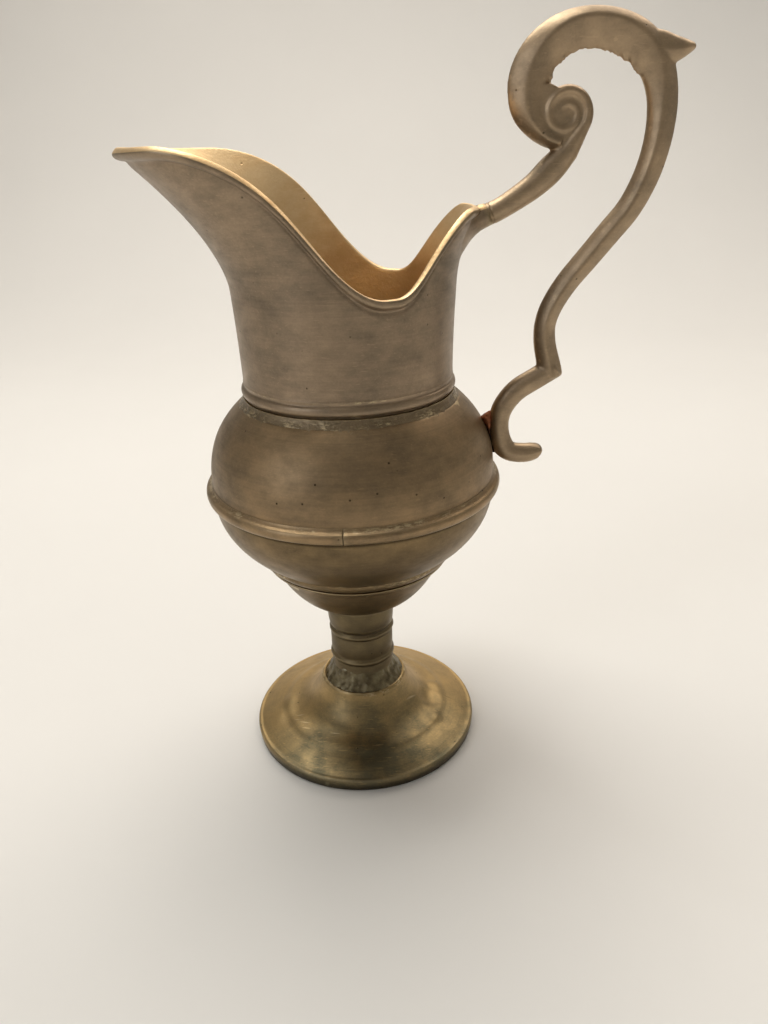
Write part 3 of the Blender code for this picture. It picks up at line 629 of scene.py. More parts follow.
def plain_steel():
    """Mild steel, its zinc long gone: grey with brownish stains."""
    made, tree, shader = new_material("stained_mild_steel")
    coords = add_node(tree, "TexCoord", {})
    stains = add_node(
        tree, "TexNoise", {"Vector": coords.outputs["Object"], "Scale": per(STAIN_SIZE), "Detail": 6}
    )
    colour = add_node(
        tree, "Mix", {0: stains.outputs[0], 6: linear(STEEL_COLOUR), 7: linear(STAIN_COLOUR)},
        data_type="RGBA",
    )
    dull = add_node(tree, "MapRange", {"Value": stains.outputs[0], "To Min": 0.3, "To Max": 0.6})
    set_inputs(tree, shader, {"Base Color": colour.outputs[2], "Metallic": 1, "Roughness": dull.outputs[0]})
    return made


steel = plain_steel()
for piece, node in ((rod, "tie_rod"), (washer, "foot_washer"), (nut, "foot_nut")):
    piece.data.materials.append(steel)
    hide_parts(node)
    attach(piece, "root")


# Cup: closes the vessel below, a brass casting turned with a rib round its top edge and a spigot that
# stands in the stem. Darker than the belly: a darker patina, deepened as painted shade on these lower parts.
cup_low, cup_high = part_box("bottom_cup")
CUP_TOP = cup_high.z / MM
CUP_SEAT = STEM_TOP + 0.3
CUP_FLOOR = CUP_SEAT + 3.6
CUP_RADIUS = 32.5
CUP_PULL = (24.8, CUP_FLOOR)
INSIDE_PULL = (24.6, CUP_FLOOR + 4)
FLAT_RADIUS = 17.5          # of the flat floor inside
SPIGOT_RADIUS = STEM_BORE - 0.3
ROD_END = CUP_SEAT + 1.5
WALL = 2.0
rib = bow(
    (CUP_RADIUS + 0.5, CUP_TOP + 0.25), (CUP_RADIUS + 3.2, CUP_TOP), (CUP_RADIUS - 0.7, CUP_TOP - 2.3), 12
)
side = bow((CUP_RADIUS - 1.1, CUP_TOP - 2.4), CUP_PULL, (STEM_RADIUS + 0.8, CUP_SEAT), 20)
spigot = [(SPIGOT_RADIUS, CUP_SEAT), (SPIGOT_RADIUS, cup_low.z / MM), (ROD_HOLE, cup_low.z / MM)]
spigot += [(ROD_HOLE, ROD_END), (0, ROD_END)]
inside = [(0, CUP_FLOOR), (FLAT_RADIUS, CUP_FLOOR)]
inside += bow((FLAT_RADIUS + 2, CUP_FLOOR + 0.6), INSIDE_PULL, (CUP_RADIUS - WALL, CUP_TOP), 12)
cup = turned("under_cup", inside + rib + side + spigot, closed=False)
ease_edges(cup, width=0.2)
# Turned brass under a dark patina, darkened further as painted shade: brown, with painted shade along the
# seams and bright flecks on both ribs.
lower_brass_and_shade = aged_brass(
    "turned_brass_patina_and_shade", "8F7958", "51483A", "1E1910",
    shaded_seams=((79.2, 0.3), (105.4, 1), (58, 1.2)), filed=((81.8, 2), (77.6, 1.1)),
)
cup.data.materials.append(lower_brass_and_shade)
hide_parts("bottom_cup")
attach(cup, "root")


# Lower bowl: the belly's lower half, a turned brass casting that ends in a second, rougher rib over the cup.
# It is soldered to the cup below and to the shoulder above, and has the cup's dark patina and painted shade.
bowl_low, bowl_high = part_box("lower_bowl")
BOWL_BASE = bowl_low.z / MM
BOWL_TOP = bowl_high.z / MM
BELLY_RADIUS = (bowl_high.y - bowl_low.y) / 2 / MM
BOWL_PULL = (1.02 * BELLY_RADIUS, (BOWL_BASE + BOWL_TOP) / 2)
BOWL_RIB = 36.4
BOWL_RIB_PULL = (36, BOWL_BASE + 1.2)
bowl_side = bow((BELLY_RADIUS, BOWL_TOP), BOWL_PULL, (BOWL_RIB, BOWL_BASE + 3.9), 28)
bowl_rib = bow((BOWL_RIB, BOWL_BASE + 3.3), BOWL_RIB_PULL, (CUP_RADIUS + 1, BOWL_BASE), 10)
bowl_in = bow(
    (CUP_RADIUS - WALL, BOWL_BASE), (BOWL_PULL[0] - WALL, BOWL_PULL[1]), (BELLY_RADIUS - WALL, BOWL_TOP), 16
)
bowl = turned("bowl_shell", bowl_side + bowl_rib + bowl_in)
ease_edges(bowl, width=0.2)
bowl.data.materials.append(lower_brass_and_shade)
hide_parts("lower_bowl")
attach(bowl, "root")


# Shoulder: the belly's upper half, a turned brass casting with an upright lip that the neck stands on.
# Satin, with a smudged brown-olive patina and a few casting pits at the front.
shoulder_low, shoulder_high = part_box("shoulder")
SHOULDER_BASE = shoulder_low.z / MM
SHOULDER_TOP = shoulder_high.z / MM
NECK_LIP = 36.1
NECK_LIP_HEIGHT = 2.6
LEDGE_RADIUS = 37.9
SHOULDER_PULL = 19.64
SIDE_HEIGHT = 4
# Pits: right and back of the axis, and up.
SHOULDER_PITS = [
    (-8, -47.4, 124.8), (-12.2, -48.1, 118.9), (2.4, -49.3, 120.3), (10.6, -47.9, 121.7), (-20.5, -45.4, 118),
    (14.2, -43.3, 129.7),
]
lip = [(NECK_LIP, SHOULDER_TOP), (NECK_LIP, SHOULDER_TOP - NECK_LIP_HEIGHT + 0.3)]
shoulder_side = bow(
    (LEDGE_RADIUS, SHOULDER_TOP - NECK_LIP_HEIGHT), (BELLY_RADIUS, SHOULDER_BASE + SHOULDER_PULL),
    (BELLY_RADIUS, SHOULDER_BASE + SIDE_HEIGHT), 32,
)
shoulder_in = bow(
    (BELLY_RADIUS - WALL, SHOULDER_BASE), (BELLY_RADIUS - WALL, SHOULDER_BASE + SHOULDER_PULL),
    (NECK_LIP - WALL, SHOULDER_TOP - 4), 20,
)
inner_side = [(BELLY_RADIUS, SHOULDER_BASE), *shoulder_in, (NECK_LIP - WALL, SHOULDER_TOP)]
shoulder = turned("shoulder_shell", lip + shoulder_side + inner_side)
ease_edges(shoulder, width=0.2)
wander(shoulder, size=26, depth=0.3)
shoulder.data.shade_smooth()
# Turned brass under a patina: satin and smudged, brown-olive over gold, with faint turning marks.
shoulder.data.materials.append(aged_brass(
    "turned_brass_patina", "A28968", "655A4A", "221C12", rings=0.45, rough=(0.42, 0.54), spots=SHOULDER_PITS,
))
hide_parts("shoulder")
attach(shoulder, "root")


# Girdle: half-round brass wire bent round the belly's seam, soldered with a fillet along its top.
# Its ends butt at the front, where a hairline crack shows.
girdle_low, girdle_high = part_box("girdle_ring")
GIRDLE_OUT = (girdle_high.y - girdle_low.y) / 2 / MM
GIRDLE_IN = BELLY_RADIUS + 0.05
GIRDLE_MIDDLE = (girdle_low.z + girdle_high.z) / 2 / MM
GIRDLE_SPLIT = 0.24
GIRDLE_SPLIT_ANGLE = math.radians(-90.4)
wire = bow(
    (GIRDLE_IN, GIRDLE_MIDDLE + 3), (GIRDLE_IN + 0.5, GIRDLE_MIDDLE + 1.9),
    (GIRDLE_OUT - 0.6, GIRDLE_MIDDLE + 1.5), 6,
)
wire += bow(
    (GIRDLE_OUT - 0.35, GIRDLE_MIDDLE + 1.3), (GIRDLE_OUT + 0.25, GIRDLE_MIDDLE + 0.4),
    (GIRDLE_OUT - 0.05, GIRDLE_MIDDLE - 0.8), 7,
)
wire += bow(
    (GIRDLE_OUT - 0.2, GIRDLE_MIDDLE - 1.3), (GIRDLE_OUT - 0.7, GIRDLE_MIDDLE - 2.4),
    (GIRDLE_IN, GIRDLE_MIDDLE - 2.4), 6,
)
split = GIRDLE_SPLIT / GIRDLE_OUT


def close_ends(joined=False):
    """In edit mode, joins a mesh's two open ends to each other or fills each of them."""
    bpy.ops.mesh.select_mode(type="EDGE")
    bpy.ops.mesh.select_all(action="DESELECT")
    bpy.ops.mesh.select_non_manifold()
    if joined:
        bpy.ops.mesh.bridge_edge_loops()
    else:
        bpy.ops.mesh.fill_holes(sides=0)


def face_outwards():
    """Turns a mesh's faces outwards and leaves edit mode."""
    bpy.ops.mesh.select_all(action="SELECT")
    bpy.ops.mesh.normals_make_consistent(inside=False)
    bpy.ops.object.mode_set(mode="OBJECT")


girdle = turned("girdle_wire", wire, start=GIRDLE_SPLIT_ANGLE + split / 2, sweep=2 * math.pi - split)
bpy.ops.object.mode_set(mode="EDIT")
close_ends()
face_outwards()
ease_edges(girdle, width=0.12)
# Drawn brass wire: a little brighter than the belly, painted shade below and flecked along its fillet.
girdle.data.materials.append(aged_brass(
    "drawn_brass_wire", "A98F6C", "675B4A", "221C12", blotch=18, shaded_seams=((105.9, 0.7),), filed=((110.6, 1),),
))
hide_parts("girdle_ring")
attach(girdle, "root")


# Collar seam: braze run round the shoulder's lip, where the neck stands on it. It was filed back roughly
# to a sloping band, which is uneven and brighter where the file took hold.
seam_low, seam_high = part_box("collar_seam")
SEAM_OUT = (seam_high.y - seam_low.y) / 2 / MM
SEAM_BASE = seam_low.z / MM
SEAM_TOP = seam_high.z / MM
SEAM_STEPS = 360
run = bow(
    (NECK_LIP + 0.1, SEAM_TOP + 0.25), (SEAM_OUT - 1, SEAM_BASE + 0.15),
    (SEAM_OUT + 1.6, SEAM_BASE - 2.1), 14,
)
seam = turned("collar_braze", run + [(NECK_LIP, SEAM_BASE - 0.5), (NECK_LIP, SEAM_TOP)], steps=SEAM_STEPS)
wander(seam, size=0.9, depth=0.3)
wander(seam, size=3.5, depth=0.35)
seam.data.shade_smooth()
# Filed braze: a duller, greyer brass than the rest, rough, with pale flecks.
seam.data.materials.append(aged_brass(
    "filed_braze", "94836A", "564D3E", "221C12", blotch=9, cast=0.3, filed=((139, 2.4),),
))
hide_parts("collar_seam")
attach(seam, "root")


# Neck: one thin brass casting with a collar bead, a helmet-shaped mouth, a rolled rim and a lug behind.
# Turned below, filed above, rubbed bright along the rim and the lug with a painted highlight there too, and
# left rough and golden inside, where painted light makes it paler.
NECK_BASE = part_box("neck")[0].z / MM
NECK_RADIUS = 35.7
NECK_SPREAD = 1.1
NECK_WALL = 1.6
FLARE_START = 34.7
RIM_DIP = 34.7
RIM_SPOUT = 76.3
RIM_BACK = 57.1
SPOUT_FLARE = 29.5
BACK_FLARE = 6.4
FLARE_POWER = 1.6
RIM_BAND = 3.4
RIM_PROUD = 1.0
SPOUT_WALL = 1.0            # added inside, at the spout's tip
SPOUT_FLAT = math.radians(37)
DIP_ANGLE = math.radians(114)
DIP_END = math.radians(119)
BACK_FLAT = math.radians(162)
FLARE_FULL = math.radians(12)
FLARE_NONE = math.radians(98)
NECK_COLUMNS = 256
WALL_RINGS = 30
SLOPE_STEP = 0.1            # over which the wall's slope is measured, up and down
BEAD_MIDDLE = 2.1
BEAD_HALF = 1.55
BEAD_PROUD = 0.95
BEAD_POINTS = 12
# The collar's bead and fine rib: rise above the neck's foot, and how far the metal stands out.
COLLAR = [(0, 0), (0.3, 0.05)]
for i in range(BEAD_POINTS):
    lean = math.radians(-84 + 164 * i / (BEAD_POINTS - 1))
    COLLAR.append((BEAD_MIDDLE + BEAD_HALF * math.sin(lean), BEAD_PROUD * math.cos(lean)))
COLLAR += [(3.9, -0.02), (4.3, -0.05), (4.7, 0.06), (5, 0.14), (5.3, 0.06), (5.7, 0)]
# The rim's band, up from its lower edge: a fine groove and then an outward roll.
BAND = [(-1.4, 0), (-0.8, -0.12), (-0.2, -0.3), (0.2, -0.2), (0.7, 0.3), (1.2, 0.7), (1.7, 0.95)]
ROLL_POINTS = 13
ROLL_CORNER = 0.65          # below 1 the rolled rim is flatter on top and on its sides
ROLL_BRIGHT = 4             # the roll's ring from which the rim takes the bright metal, rubbed and a painted highlight, counted from outside


def fade(angle, start, end):
    """1 before start, 0 after end, and a smooth half wave between them."""
    share = min(max((angle - start) / (end - start), 0), 1)
    return 0.5 + 0.5 * math.cos(math.pi * share)


def rim_height(angle):
    """Height of the rim above the neck's foot, at an angle from the spout."""
    if angle < DIP_ANGLE:
        return RIM_DIP + (RIM_SPOUT - RIM_DIP) * fade(angle, SPOUT_FLAT, DIP_ANGLE)
    return RIM_BACK + (RIM_DIP - RIM_BACK) * fade(angle, DIP_END, BACK_FLAT)


def neck_radius(angle, rise):
    """Outer radius of the neck at a height above its foot."""
    plain = NECK_RADIUS + NECK_SPREAD * min(max(rise / FLARE_START, 0), 1) ** 2
    climb = max(rise - FLARE_START, 0)
    front = SPOUT_FLARE * (climb / (RIM_SPOUT - FLARE_START)) ** FLARE_POWER
    back = BACK_FLARE * (climb / (RIM_BACK - FLARE_START)) ** FLARE_POWER
    front *= fade(angle, FLARE_FULL, FLARE_NONE)
    return plain + front + back * fade(math.pi - angle, FLARE_FULL, FLARE_NONE)


def neck_section(angle):
    """(radius, height) up the outside, over the rolled rim and down the inside."""
    thicker = SPOUT_WALL * fade(angle, 0, SPOUT_FLAT)
    half = (NECK_WALL + thicker + RIM_PROUD) / 2
    crest = rim_height(angle) - half
    band = crest + half - RIM_BAND
    start = COLLAR[-1][0]
    steps = [(rise, proud, 0) for rise, proud in COLLAR]
    steps += [(start + (band + BAND[0][0] - start) * i / WALL_RINGS, 0, 0) for i in range(1, WALL_RINGS)]
    steps += [(band + rise, proud, 0) for rise, proud in BAND]
    for i in range(ROLL_POINTS):
        lean = math.pi * i / (ROLL_POINTS - 1)
        across, over = math.cos(lean), math.sin(lean)
        across = math.copysign(abs(across) ** ROLL_CORNER, across)
        steps.append((crest, RIM_PROUD - half + half * across, half * abs(over) ** ROLL_CORNER))
    for i in range(1, WALL_RINGS + 1):
        left = 1 - i / WALL_RINGS
        steps.append((crest * left, -NECK_WALL - thicker * left**3, 0))
    points = []
    for rise, proud, over in steps:
        slope = neck_radius(angle, rise + SLOPE_STEP) - neck_radius(angle, rise - SLOPE_STEP)
        slope /= 2 * SLOPE_STEP
        length = math.hypot(1, slope)
        radius = neck_radius(angle, rise) + (proud + over * slope) / length
        points.append((radius, NECK_BASE + rise + (over - proud * slope) / length))
    return points


def drawn_tube(name, rings, sides, placed, joined=False):
    """A circle extruded ring by ring, each point then put at placed(ring, angle), in millimetres from the
    vessel's foot. The two end rings are joined to each other, or each is filled."""
    bpy.ops.object.select_all(action="DESELECT")
    bpy.ops.mesh.primitive_circle_add(vertices=sides, radius=10 * MM, enter_editmode=True)
    for ring in range(rings - 1):
        bpy.ops.mesh.extrude_region_move(TRANSFORM_OT_translate={"value": (0, 0, MM)})
    close_ends(joined)
    bpy.ops.object.mode_set(mode="OBJECT")
    tube = bpy.context.object
    tube.name = tube.data.name = name
    for vertex in tube.data.vertices:
        ring, angle = round(vertex.co.z / MM), math.atan2(vertex.co.y, vertex.co.x)
        vertex.co = axis + Vector(placed(ring, angle)) * MM
    bpy.ops.object.mode_set(mode="EDIT")
    face_outwards()
    return tube


# The sections worked out so far, by their angle from the spout.
sections = {}


def neck_point(ring, angle):
    """A point of the neck, from the section at its angle from the spout."""
    away = round(math.pi - abs(angle), 6)
    if away not in sections:
        sections[away] = neck_section(away)
    radius, height = sections[away][ring]
    return radius * math.cos(angle), radius * math.sin(angle), height


neck = drawn_tube("helmet_neck", len(neck_section(0)), NECK_COLUMNS, neck_point, joined=True)
wander(neck, size=24, depth=0.25)
# Satin cast brass: a greyish gold, smudged and cloudy, with turning marks and flecks on the collar.
neck.data.materials.append(aged_brass(
    "satin_cast_brass", "A59078", "6C6254", "241E14", blotch=32, rings=0.45, filed=((146.2, 0.7),),
))
# Raw cast brass: a warm pale gold with a sandy grain, as it came out of the mould, lightened as painted
# light.
# On the rim's top and the lug's upper faces it is also a painted highlight.
neck.data.materials.append(aged_brass(
    "raw_cast_brass_and_light", "E6CCA2", "CBA878", "6A5432", blotch=22, rings=0.1, cast=0.1, rough=(0.4, 0.52),
))
# The rim's top and the inside take the bright metal: a painted highlight on the rim, painted light inside.
first_bright = len(COLLAR) + WALL_RINGS - 1 + len(BAND) + ROLL_BRIGHT
for face in neck.data.polygons:
    face.material_index = int(min(face.vertices) >= first_bright * NECK_COLUMNS)

# The lug behind swells into the rim's back. Rows: its upper and lower edge, out and up from the braze,
# and half its width.
braze_low, braze_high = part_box("rim_braze")
joint = ((braze_low + braze_high) / 2 - axis) / MM
LUG = [
    (-1.95, 3, 1.05, -3.2, 3.3), (-3.2, 2.8, -1.1, -4.2, 3.45), (-4.2, 2.6, -2.9, -5.1, 3.9),
    (-5.1, 2.45, -4.4, -6.2, 4.9), (-5.9, 2.3, -5.9, -7.6, 6.6), (-6.7, 1.9, -7.3, -9.4, 8.6),
    (-7.3, 1.2, -8.5, -11.6, 10), (-7.6, 0.4, -9.4, -13.6, 11),
]
LUG_SIDES = 32
LUG_START = 43.5            # out from the axis, where the rim's back ends
LUG_ROOT = 36.5             # out from the axis, where the lug's root begins to be filed smooth
LUG_SPREAD = 12             # how far to each side it is filed
LUG_DROP = 16               # how far down from the braze it is filed
LUG_LEFT = 3                # how far in from the braze the lug is left as it is
LIT_AND_RUBBED_SLOPE = 0.6          # what points up more than this on the lug takes the bright metal: rubbed, and a painted highlight


def wall_middle(height):
    """Radius of the middle of the neck's wall, at its back."""
    return neck_radius(math.pi, height - NECK_BASE) - NECK_WALL / 2


def lug_point(ring, angle):
    """A point of the lug, which ends inside the neck's wall."""
    top_out, top_up, low_out, low_up, width = LUG[ring]
    share = 0.5 + 0.5 * math.sin(angle)
    spot = joint + Vector((low_out, 0, low_up)).lerp(Vector((top_out, 0, top_up)), share)
    spot.y = width * math.cos(angle)
    wall = math.sqrt(wall_middle(spot.z) ** 2 - spot.y**2)
    spot.x = wall if ring == len(LUG) - 1 else max(spot.x, wall)
    return spot


lug = drawn_tube("lug", len(LUG), LUG_SIDES, lug_point)
apply_modifier(neck, "BOOLEAN", object=lug, operation="UNION")
bpy.data.objects.remove(lug)
bpy.ops.object.select_all(action="DESELECT")
neck.select_set(True)
for edge in neck.data.edges:
    edge.select = False
for face in neck.data.polygons:
    face.select = False
for vertex in neck.data.vertices:
    spot = (vertex.co - axis) / MM
    on_root = LUG_ROOT < spot.x < joint.x - LUG_LEFT and abs(spot.y) < LUG_SPREAD
    on_root = on_root and spot.z > joint.z - LUG_DROP
    vertex.select = on_root and math.hypot(spot.x, spot.y) > wall_middle(spot.z)
bpy.ops.object.mode_set(mode="EDIT")
bpy.ops.mesh.select_mode(type="VERT")
bpy.ops.mesh.vertices_smooth(factor=0.5, repeat=4)
bpy.ops.object.mode_set(mode="OBJECT")
neck.data.shade_smooth()
# Painted highlight with rubbing: the lug's upward faces take the bright metal.
for face in neck.data.polygons:
    if face.center.x - axis.x > LUG_START * MM and face.normal.z > LIT_AND_RUBBED_SLOPE:
        face.material_index = 1
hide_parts("neck")
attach(neck, "root")


# Rim braze: a film of brass braze in the butt joint between the neck's lug and the handle's stalk.
# It was run in with the torch and filed flush, so only a fine dark line of it shows.
LUG_RISE = math.radians(26)
FILM_RADIUS = 3.35
FILM_THICKNESS = 1.0
FILM_COLOUR = "A08B6E"
bpy.ops.object.select_all(action="DESELECT")
bpy.ops.mesh.primitive_cylinder_add(
    vertices=48, radius=FILM_RADIUS * MM, depth=FILM_THICKNESS * MM, location=(braze_low + braze_high) / 2,
    rotation=(0, math.pi / 2 - LUG_RISE, 0),
)
bpy.ops.object.transform_apply(location=True, rotation=True)
film = bpy.context.object
film.name = film.data.name = "lug_braze"
ease_edges(film, width=0.1)
# Braze filed flush: the colour of the castings on both sides, a little browner in its hollows as painted
# shade.
film.data.materials.append(aged_brass(
    "flush_braze", FILM_COLOUR, "6E6150", "3A2416", blotch=4, edges=FILM_COLOUR,
))
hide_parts("rim_braze")
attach(film, "root")


# Handle: one brass sand casting, filed and rubbed. A limb rises from the elbow into an arch, which ends in a
# volute on the stalk, and a scroll below seats on the belly. The arch's inner edge keeps its casting flash.
SEAT = Vector((52.4, 0, 124.2))     # from the vessel's foot
VOXEL = 0.42
BAR_SIDES = 48
HANDLE_COLOUR = "B9A183"
# Stations in millimetres out and up from the lower seat, with half the width, and for the arch how far
# out across its face the ridge lies, from -1 at the inner edge to 1 at the outer.
ARCH = [
    (16.5, 19.2, 4.2, 0), (16.1, 21.5, 4.2, 0), (15.2, 25.5, 3.9, 0), (14, 31, 3.7, 0), (13.9, 37, 3.6, 0),
    (15.8, 43, 3.7, 0), (20, 50, 3.8, 0), (26.1, 57.5, 3.9, -0.05), (32.2, 65, 4, -0.1), (37.8, 72, 4, -0.15),
    (41.8, 80, 4.1, -0.2), (44.1, 88, 4.2, -0.2), (45, 96, 4.4, -0.15), (44.4, 104, 4.7, 0),
    (41.7, 111.3, 5.2, 0.25), (36.7, 116.8, 5.4, 0.4), (29.8, 120, 5.4, 0.5), (21.8, 121.2, 5.2, 0.5),
    (14.3, 119.6, 5.4, 0.35), (8.5, 115.3, 5.8, 0.15), (5.3, 109.5, 6, 0.05), (4.8, 104, 5.7, 0.05),
    (5.5, 100, 5, 0.1), (8.1, 96.1, 4, 0.15), (11.8, 93, 3.1, 0.2), (15.4, 91.6, 2.3, 0.2),
]
STALK = [(-5, 71.9, 3.4), (-0.5, 74.1, 3.4), (7.6, 79.2, 3.8), (13, 84, 4.2), (17.6, 88.8, 3.5)]
SCROLL = [
    (18.2, 22.6, 3.7), (11.1, 18.3, 3.8), (5.6, 14.8, 3.8), (1.8, 10.4, 3.7), (-0.1, 6, 3.6), (-0.4, 1, 3.5),
    (0.8, -4.6, 3.8), (3.7, -7.7, 3.5), (8.6, -8.4, 3.5), (11.8, -7.9, 3.2), (13.4, -7.3, 2.5),
    (14.5, -6.9, 1.5), (15.1, -6.7, 0.5),
]
LEAF = [(37, 115.7, 4.6), (42, 115.1, 4.7), (45.8, 114.7, 3.9), (49.2, 114.9, 2.6), (52.3, 115.3, 0.9)]
# The volute's roll: turn in degrees, distance from its eye and half the width.
EYE = Vector((16.4, 0, 99))
ROLL = [
    (-30, 6.5, 2), (30, 6.4, 1.75), (90, 6.2, 1.7), (180, 5.2, 1.6), (270, 4.1, 1.5), (360, 3.3, 1.4),
    (450, 2.6, 1.25), (540, 1.7, 1),
]
# The metal between the volute's turns and the arch: out, up, radius and thickness of each disc.
WEBS = [(16.4, 99, 5.8, 4.3), (10.6, 102.5, 4.6, 4.2), (11.5, 96.5, 4, 4.6), (16.8, 92.3, 3, 4.8)]
BAR_THICKNESS = 3.8
BAR_FALLS = (0.6, 0.5)      # how far the face falls from its ridge to the outer and the inner edge
STALK_THICKNESS = 3.3
SCROLL_FALLS = (0.2, 0.2)
LEAF_FALLS = (0.3, 0.3)
# The flash lies along the arch's inner edge, above one height and inside one distance from the seat.
FLASH_ABOVE = 106
FLASH_INSIDE = 42
FLASH_CENTRE = Vector((25, 0, 104))
FLASH_RADIUS = (0.5, 0.85)
FLASH_SUNK = 0.1
FLASH_STRAY = 0.5
FLASH_SEED = 7


def smooth(points, count=5):
    """Points on the smooth curve through the given ones, count to a span."""
    result = []
    padded = [points[0], *points, points[-1]]
    for corners in zip(padded, padded[1:], padded[2:], padded[3:]):
        for i in range(count):
            t = i / count
            weights = (
                (-t + 2 * t**2 - t**3) / 2, (2 - 5 * t**2 + 3 * t**3) / 2, (t + 4 * t**2 - 3 * t**3) / 2,
                (t**3 - t**2) / 2,
            )
            result.append([sum(w * v for w, v in zip(weights, values)) for values in zip(*corners)])
    return result + [points[-1]]


def cast_bar(name, stations, thickness, falls=(0, 0), sharp=2):
    """A bar through its stations. Its section is an oval whose face falls away from a ridge."""
    ways = []
    for before, after in zip([stations[0], *stations], [*stations[1:], stations[-1]]):
        ways.append(Vector((after[0] - before[0], 0, after[1] - before[1])).normalized())

    def placed(ring, angle):
        out, up, half, *ridge = stations[ring]
        crest = ridge[0] if ridge else 0
        wide = math.cos(angle)
        side, fall = (1 - crest, falls[0]) if wide > crest else (1 + crest, falls[1])
        share = min(abs(wide - crest) / side, 1)
        thick = thickness * min(1, (half / 2) ** 0.5) * (1 - fall * share) * math.sqrt(1 - share**sharp)
        outward = Vector((ways[ring].z, 0, -ways[ring].x))
        return SEAT + Vector((out, math.copysign(thick, math.sin(angle)), up)) + outward * wide * half

    return drawn_tube(name, len(stations), BAR_SIDES, placed)


roll = []
for turn, reach, half in smooth(ROLL, 8):
    turn = math.radians(turn)
    roll.append((EYE.x + reach * math.cos(turn), EYE.z + reach * math.sin(turn), half))
bars = [
    cast_bar("limb_and_arch", smooth(ARCH), BAR_THICKNESS, falls=BAR_FALLS, sharp=3),
    cast_bar("stalk", smooth(STALK) + roll, STALK_THICKNESS),
    cast_bar("scroll", smooth(SCROLL), STALK_THICKNESS, falls=SCROLL_FALLS, sharp=3),
    cast_bar("leaf", smooth(LEAF), STALK_THICKNESS, falls=LEAF_FALLS, sharp=3),
]
bpy.ops.object.select_all(action="DESELECT")
for out, up, radius, thickness in WEBS:
    bpy.ops.mesh.primitive_cylinder_add(
        vertices=BAR_SIDES, radius=radius * MM, depth=thickness * MM,
        location=axis + (SEAT + Vector((out, 0, up))) * MM, rotation=(math.pi / 2, 0, 0),
    )
    bars.append(bpy.context.object)

flash = random.Random(FLASH_SEED)
for out, up, half, ridge in smooth(ARCH):
    if up < FLASH_ABOVE or out > FLASH_INSIDE:
        continue
    inward = FLASH_CENTRE - Vector((out, 0, up))
    spot = Vector((out, 0, up)) + inward.normalized() * (half - FLASH_SUNK)
    spot += Vector((flash.uniform(-FLASH_STRAY, FLASH_STRAY), flash.uniform(-FLASH_STRAY, FLASH_STRAY), 0))
    bpy.ops.mesh.primitive_ico_sphere_add(
        subdivisions=2, radius=flash.uniform(*FLASH_RADIUS) * MM, location=axis + (SEAT + spot) * MM
    )
    bars.append(bpy.context.object)

bpy.ops.object.select_all(action="DESELECT")
for bar in bars:
    bar.select_set(True)
handle = bars[0]
bpy.context.view_layer.objects.active = handle
bpy.ops.object.join()
bpy.ops.object.transform_apply(location=True, rotation=True, scale=True)
handle.name = handle.data.name = "scroll_handle"
apply_modifier(handle, "REMESH", mode="VOXEL", voxel_size=VOXEL * MM)
apply_modifier(handle, "SMOOTH", factor=0.5, iterations=4)
handle.data.shade_smooth()
# Sand-cast brass, filed and rubbed: a pale satin gold with a soft grain and painted shade, brown, in its
# corners.
handle.data.materials.append(aged_brass(
    "sand_cast_brass", HANDLE_COLOUR, "7B6E5C", "2E2618", blotch=24, rings=0.05, cast=0.06,
    edges=HANDLE_COLOUR,
))
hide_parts("handle")
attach(handle, "root")


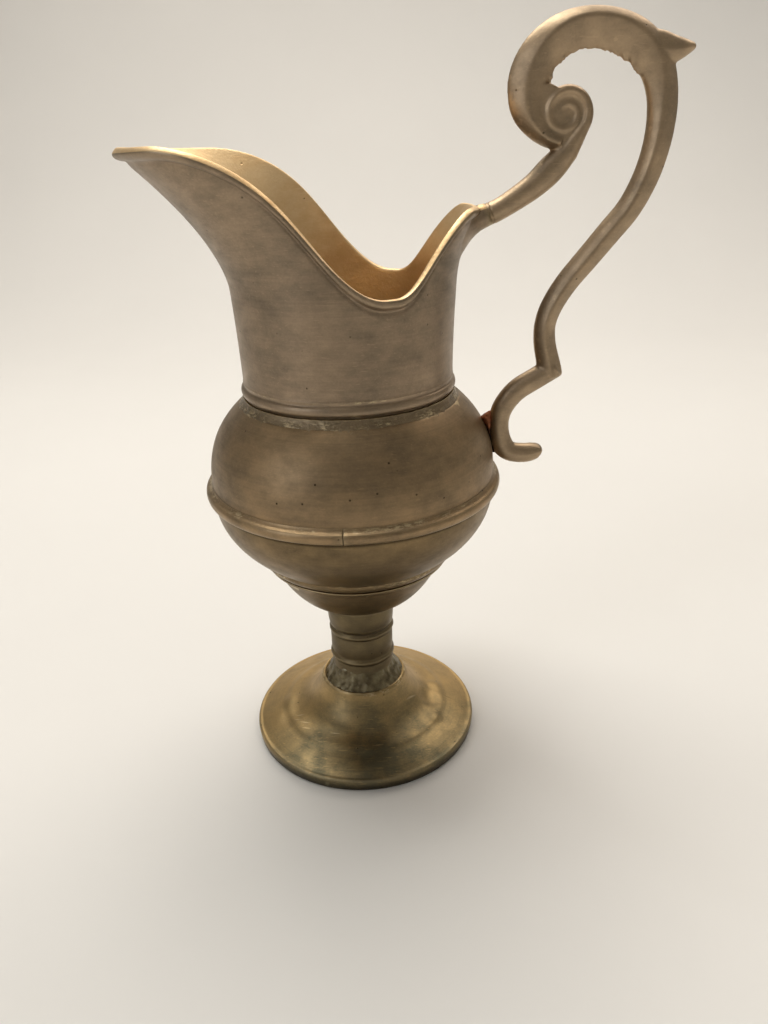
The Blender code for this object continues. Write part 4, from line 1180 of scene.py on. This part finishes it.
# Handle braze: copper-red braze that the torch ran in between the belly and the scroll. A wedge of it stands
# above and a burnt crust hangs below, and neither was cleaned up.
# Rows: height, from and to as distances from the axis, half the thickness.
SEAT_RUN = [
    (131.6, 48.2, 49.4, 0.5), (131, 47.5, 49.5, 1.2), (130.2, 46.5, 49.6, 1.9), (129.4, 45.8, 49.6, 2.3),
    (128.2, 46.3, 49.6, 2.4), (126.6, 47.1, 49.5, 2.4), (124.6, 47.9, 49.4, 2.2), (122.2, 48.7, 49.6, 1.9),
    (119.6, 49.3, 50.2, 1.6), (117.3, 49.8, 50.9, 1.2), (116.3, 50, 51, 0.6),
]
CRUST_HEIGHT = 125.5
CRUST_DEPTH = 5
CRUST_GRAIN = 1.6
SPELTER_COLOUR = "8C573A"
CRUST_COLOUR = "35271C"
WEDGE_SIDES = 32


def seat_point(ring, angle):
    """A point of the braze run."""
    height, start, end, thick = seat_rows[ring]
    return (start + end) / 2 + (end - start) / 2 * math.cos(angle), thick * math.sin(angle), height


seat_rows = smooth(SEAT_RUN, 4)
wedge = drawn_tube("seat_braze", len(seat_rows), WEDGE_SIDES, seat_point)
wander(wedge, size=1.4, depth=0.6)
wedge.data.shade_smooth()


def copper_braze():
    """Brazing spelter that ran copper-red where the torch was, with a black flux crust lower down."""
    made, tree, shader = new_material("burnt_braze")
    coords = add_node(tree, "TexCoord", {})
    parts = add_node(tree, "SeparateXYZ", {"Vector": coords.outputs["Object"]})
    crust = add_node(
        tree, "TexNoise", {"Vector": coords.outputs["Object"], "Scale": per(CRUST_GRAIN), "Detail": 5}
    )
    fall = add_node(
        tree, "MapRange",
        {"Value": parts.outputs["Z"], "From Min": (CRUST_HEIGHT + CRUST_DEPTH) * MM,
         "From Max": (CRUST_HEIGHT - CRUST_DEPTH) * MM, "To Min": -0.35, "To Max": 0.35},
    )
    burnt = add_node(tree, "Math", {0: crust.outputs[0], 1: fall.outputs[0]}, operation="ADD")
    share = add_node(tree, "MapRange", {"Value": burnt.outputs[0], "From Min": 0.35, "From Max": 0.6})
    colour = add_node(
        tree, "Mix", {0: share.outputs[0], 6: linear(SPELTER_COLOUR), 7: linear(CRUST_COLOUR)},
        data_type="RGBA",
    )
    dull = add_node(tree, "MapRange", {"Value": share.outputs[0], "To Min": 0.42, "To Max": 0.75})
    bumps = add_node(tree, "Bump", {"Height": crust.outputs[0], "Distance": 0.4 * MM})
    set_inputs(tree, shader, {
        "Base Color": colour.outputs[2], "Metallic": 0.8, "Roughness": dull.outputs[0],
        "Normal": bumps.outputs[0],
    })
    return made


wedge.data.materials.append(copper_braze())
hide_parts("handle_braze")
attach(wedge, "root")
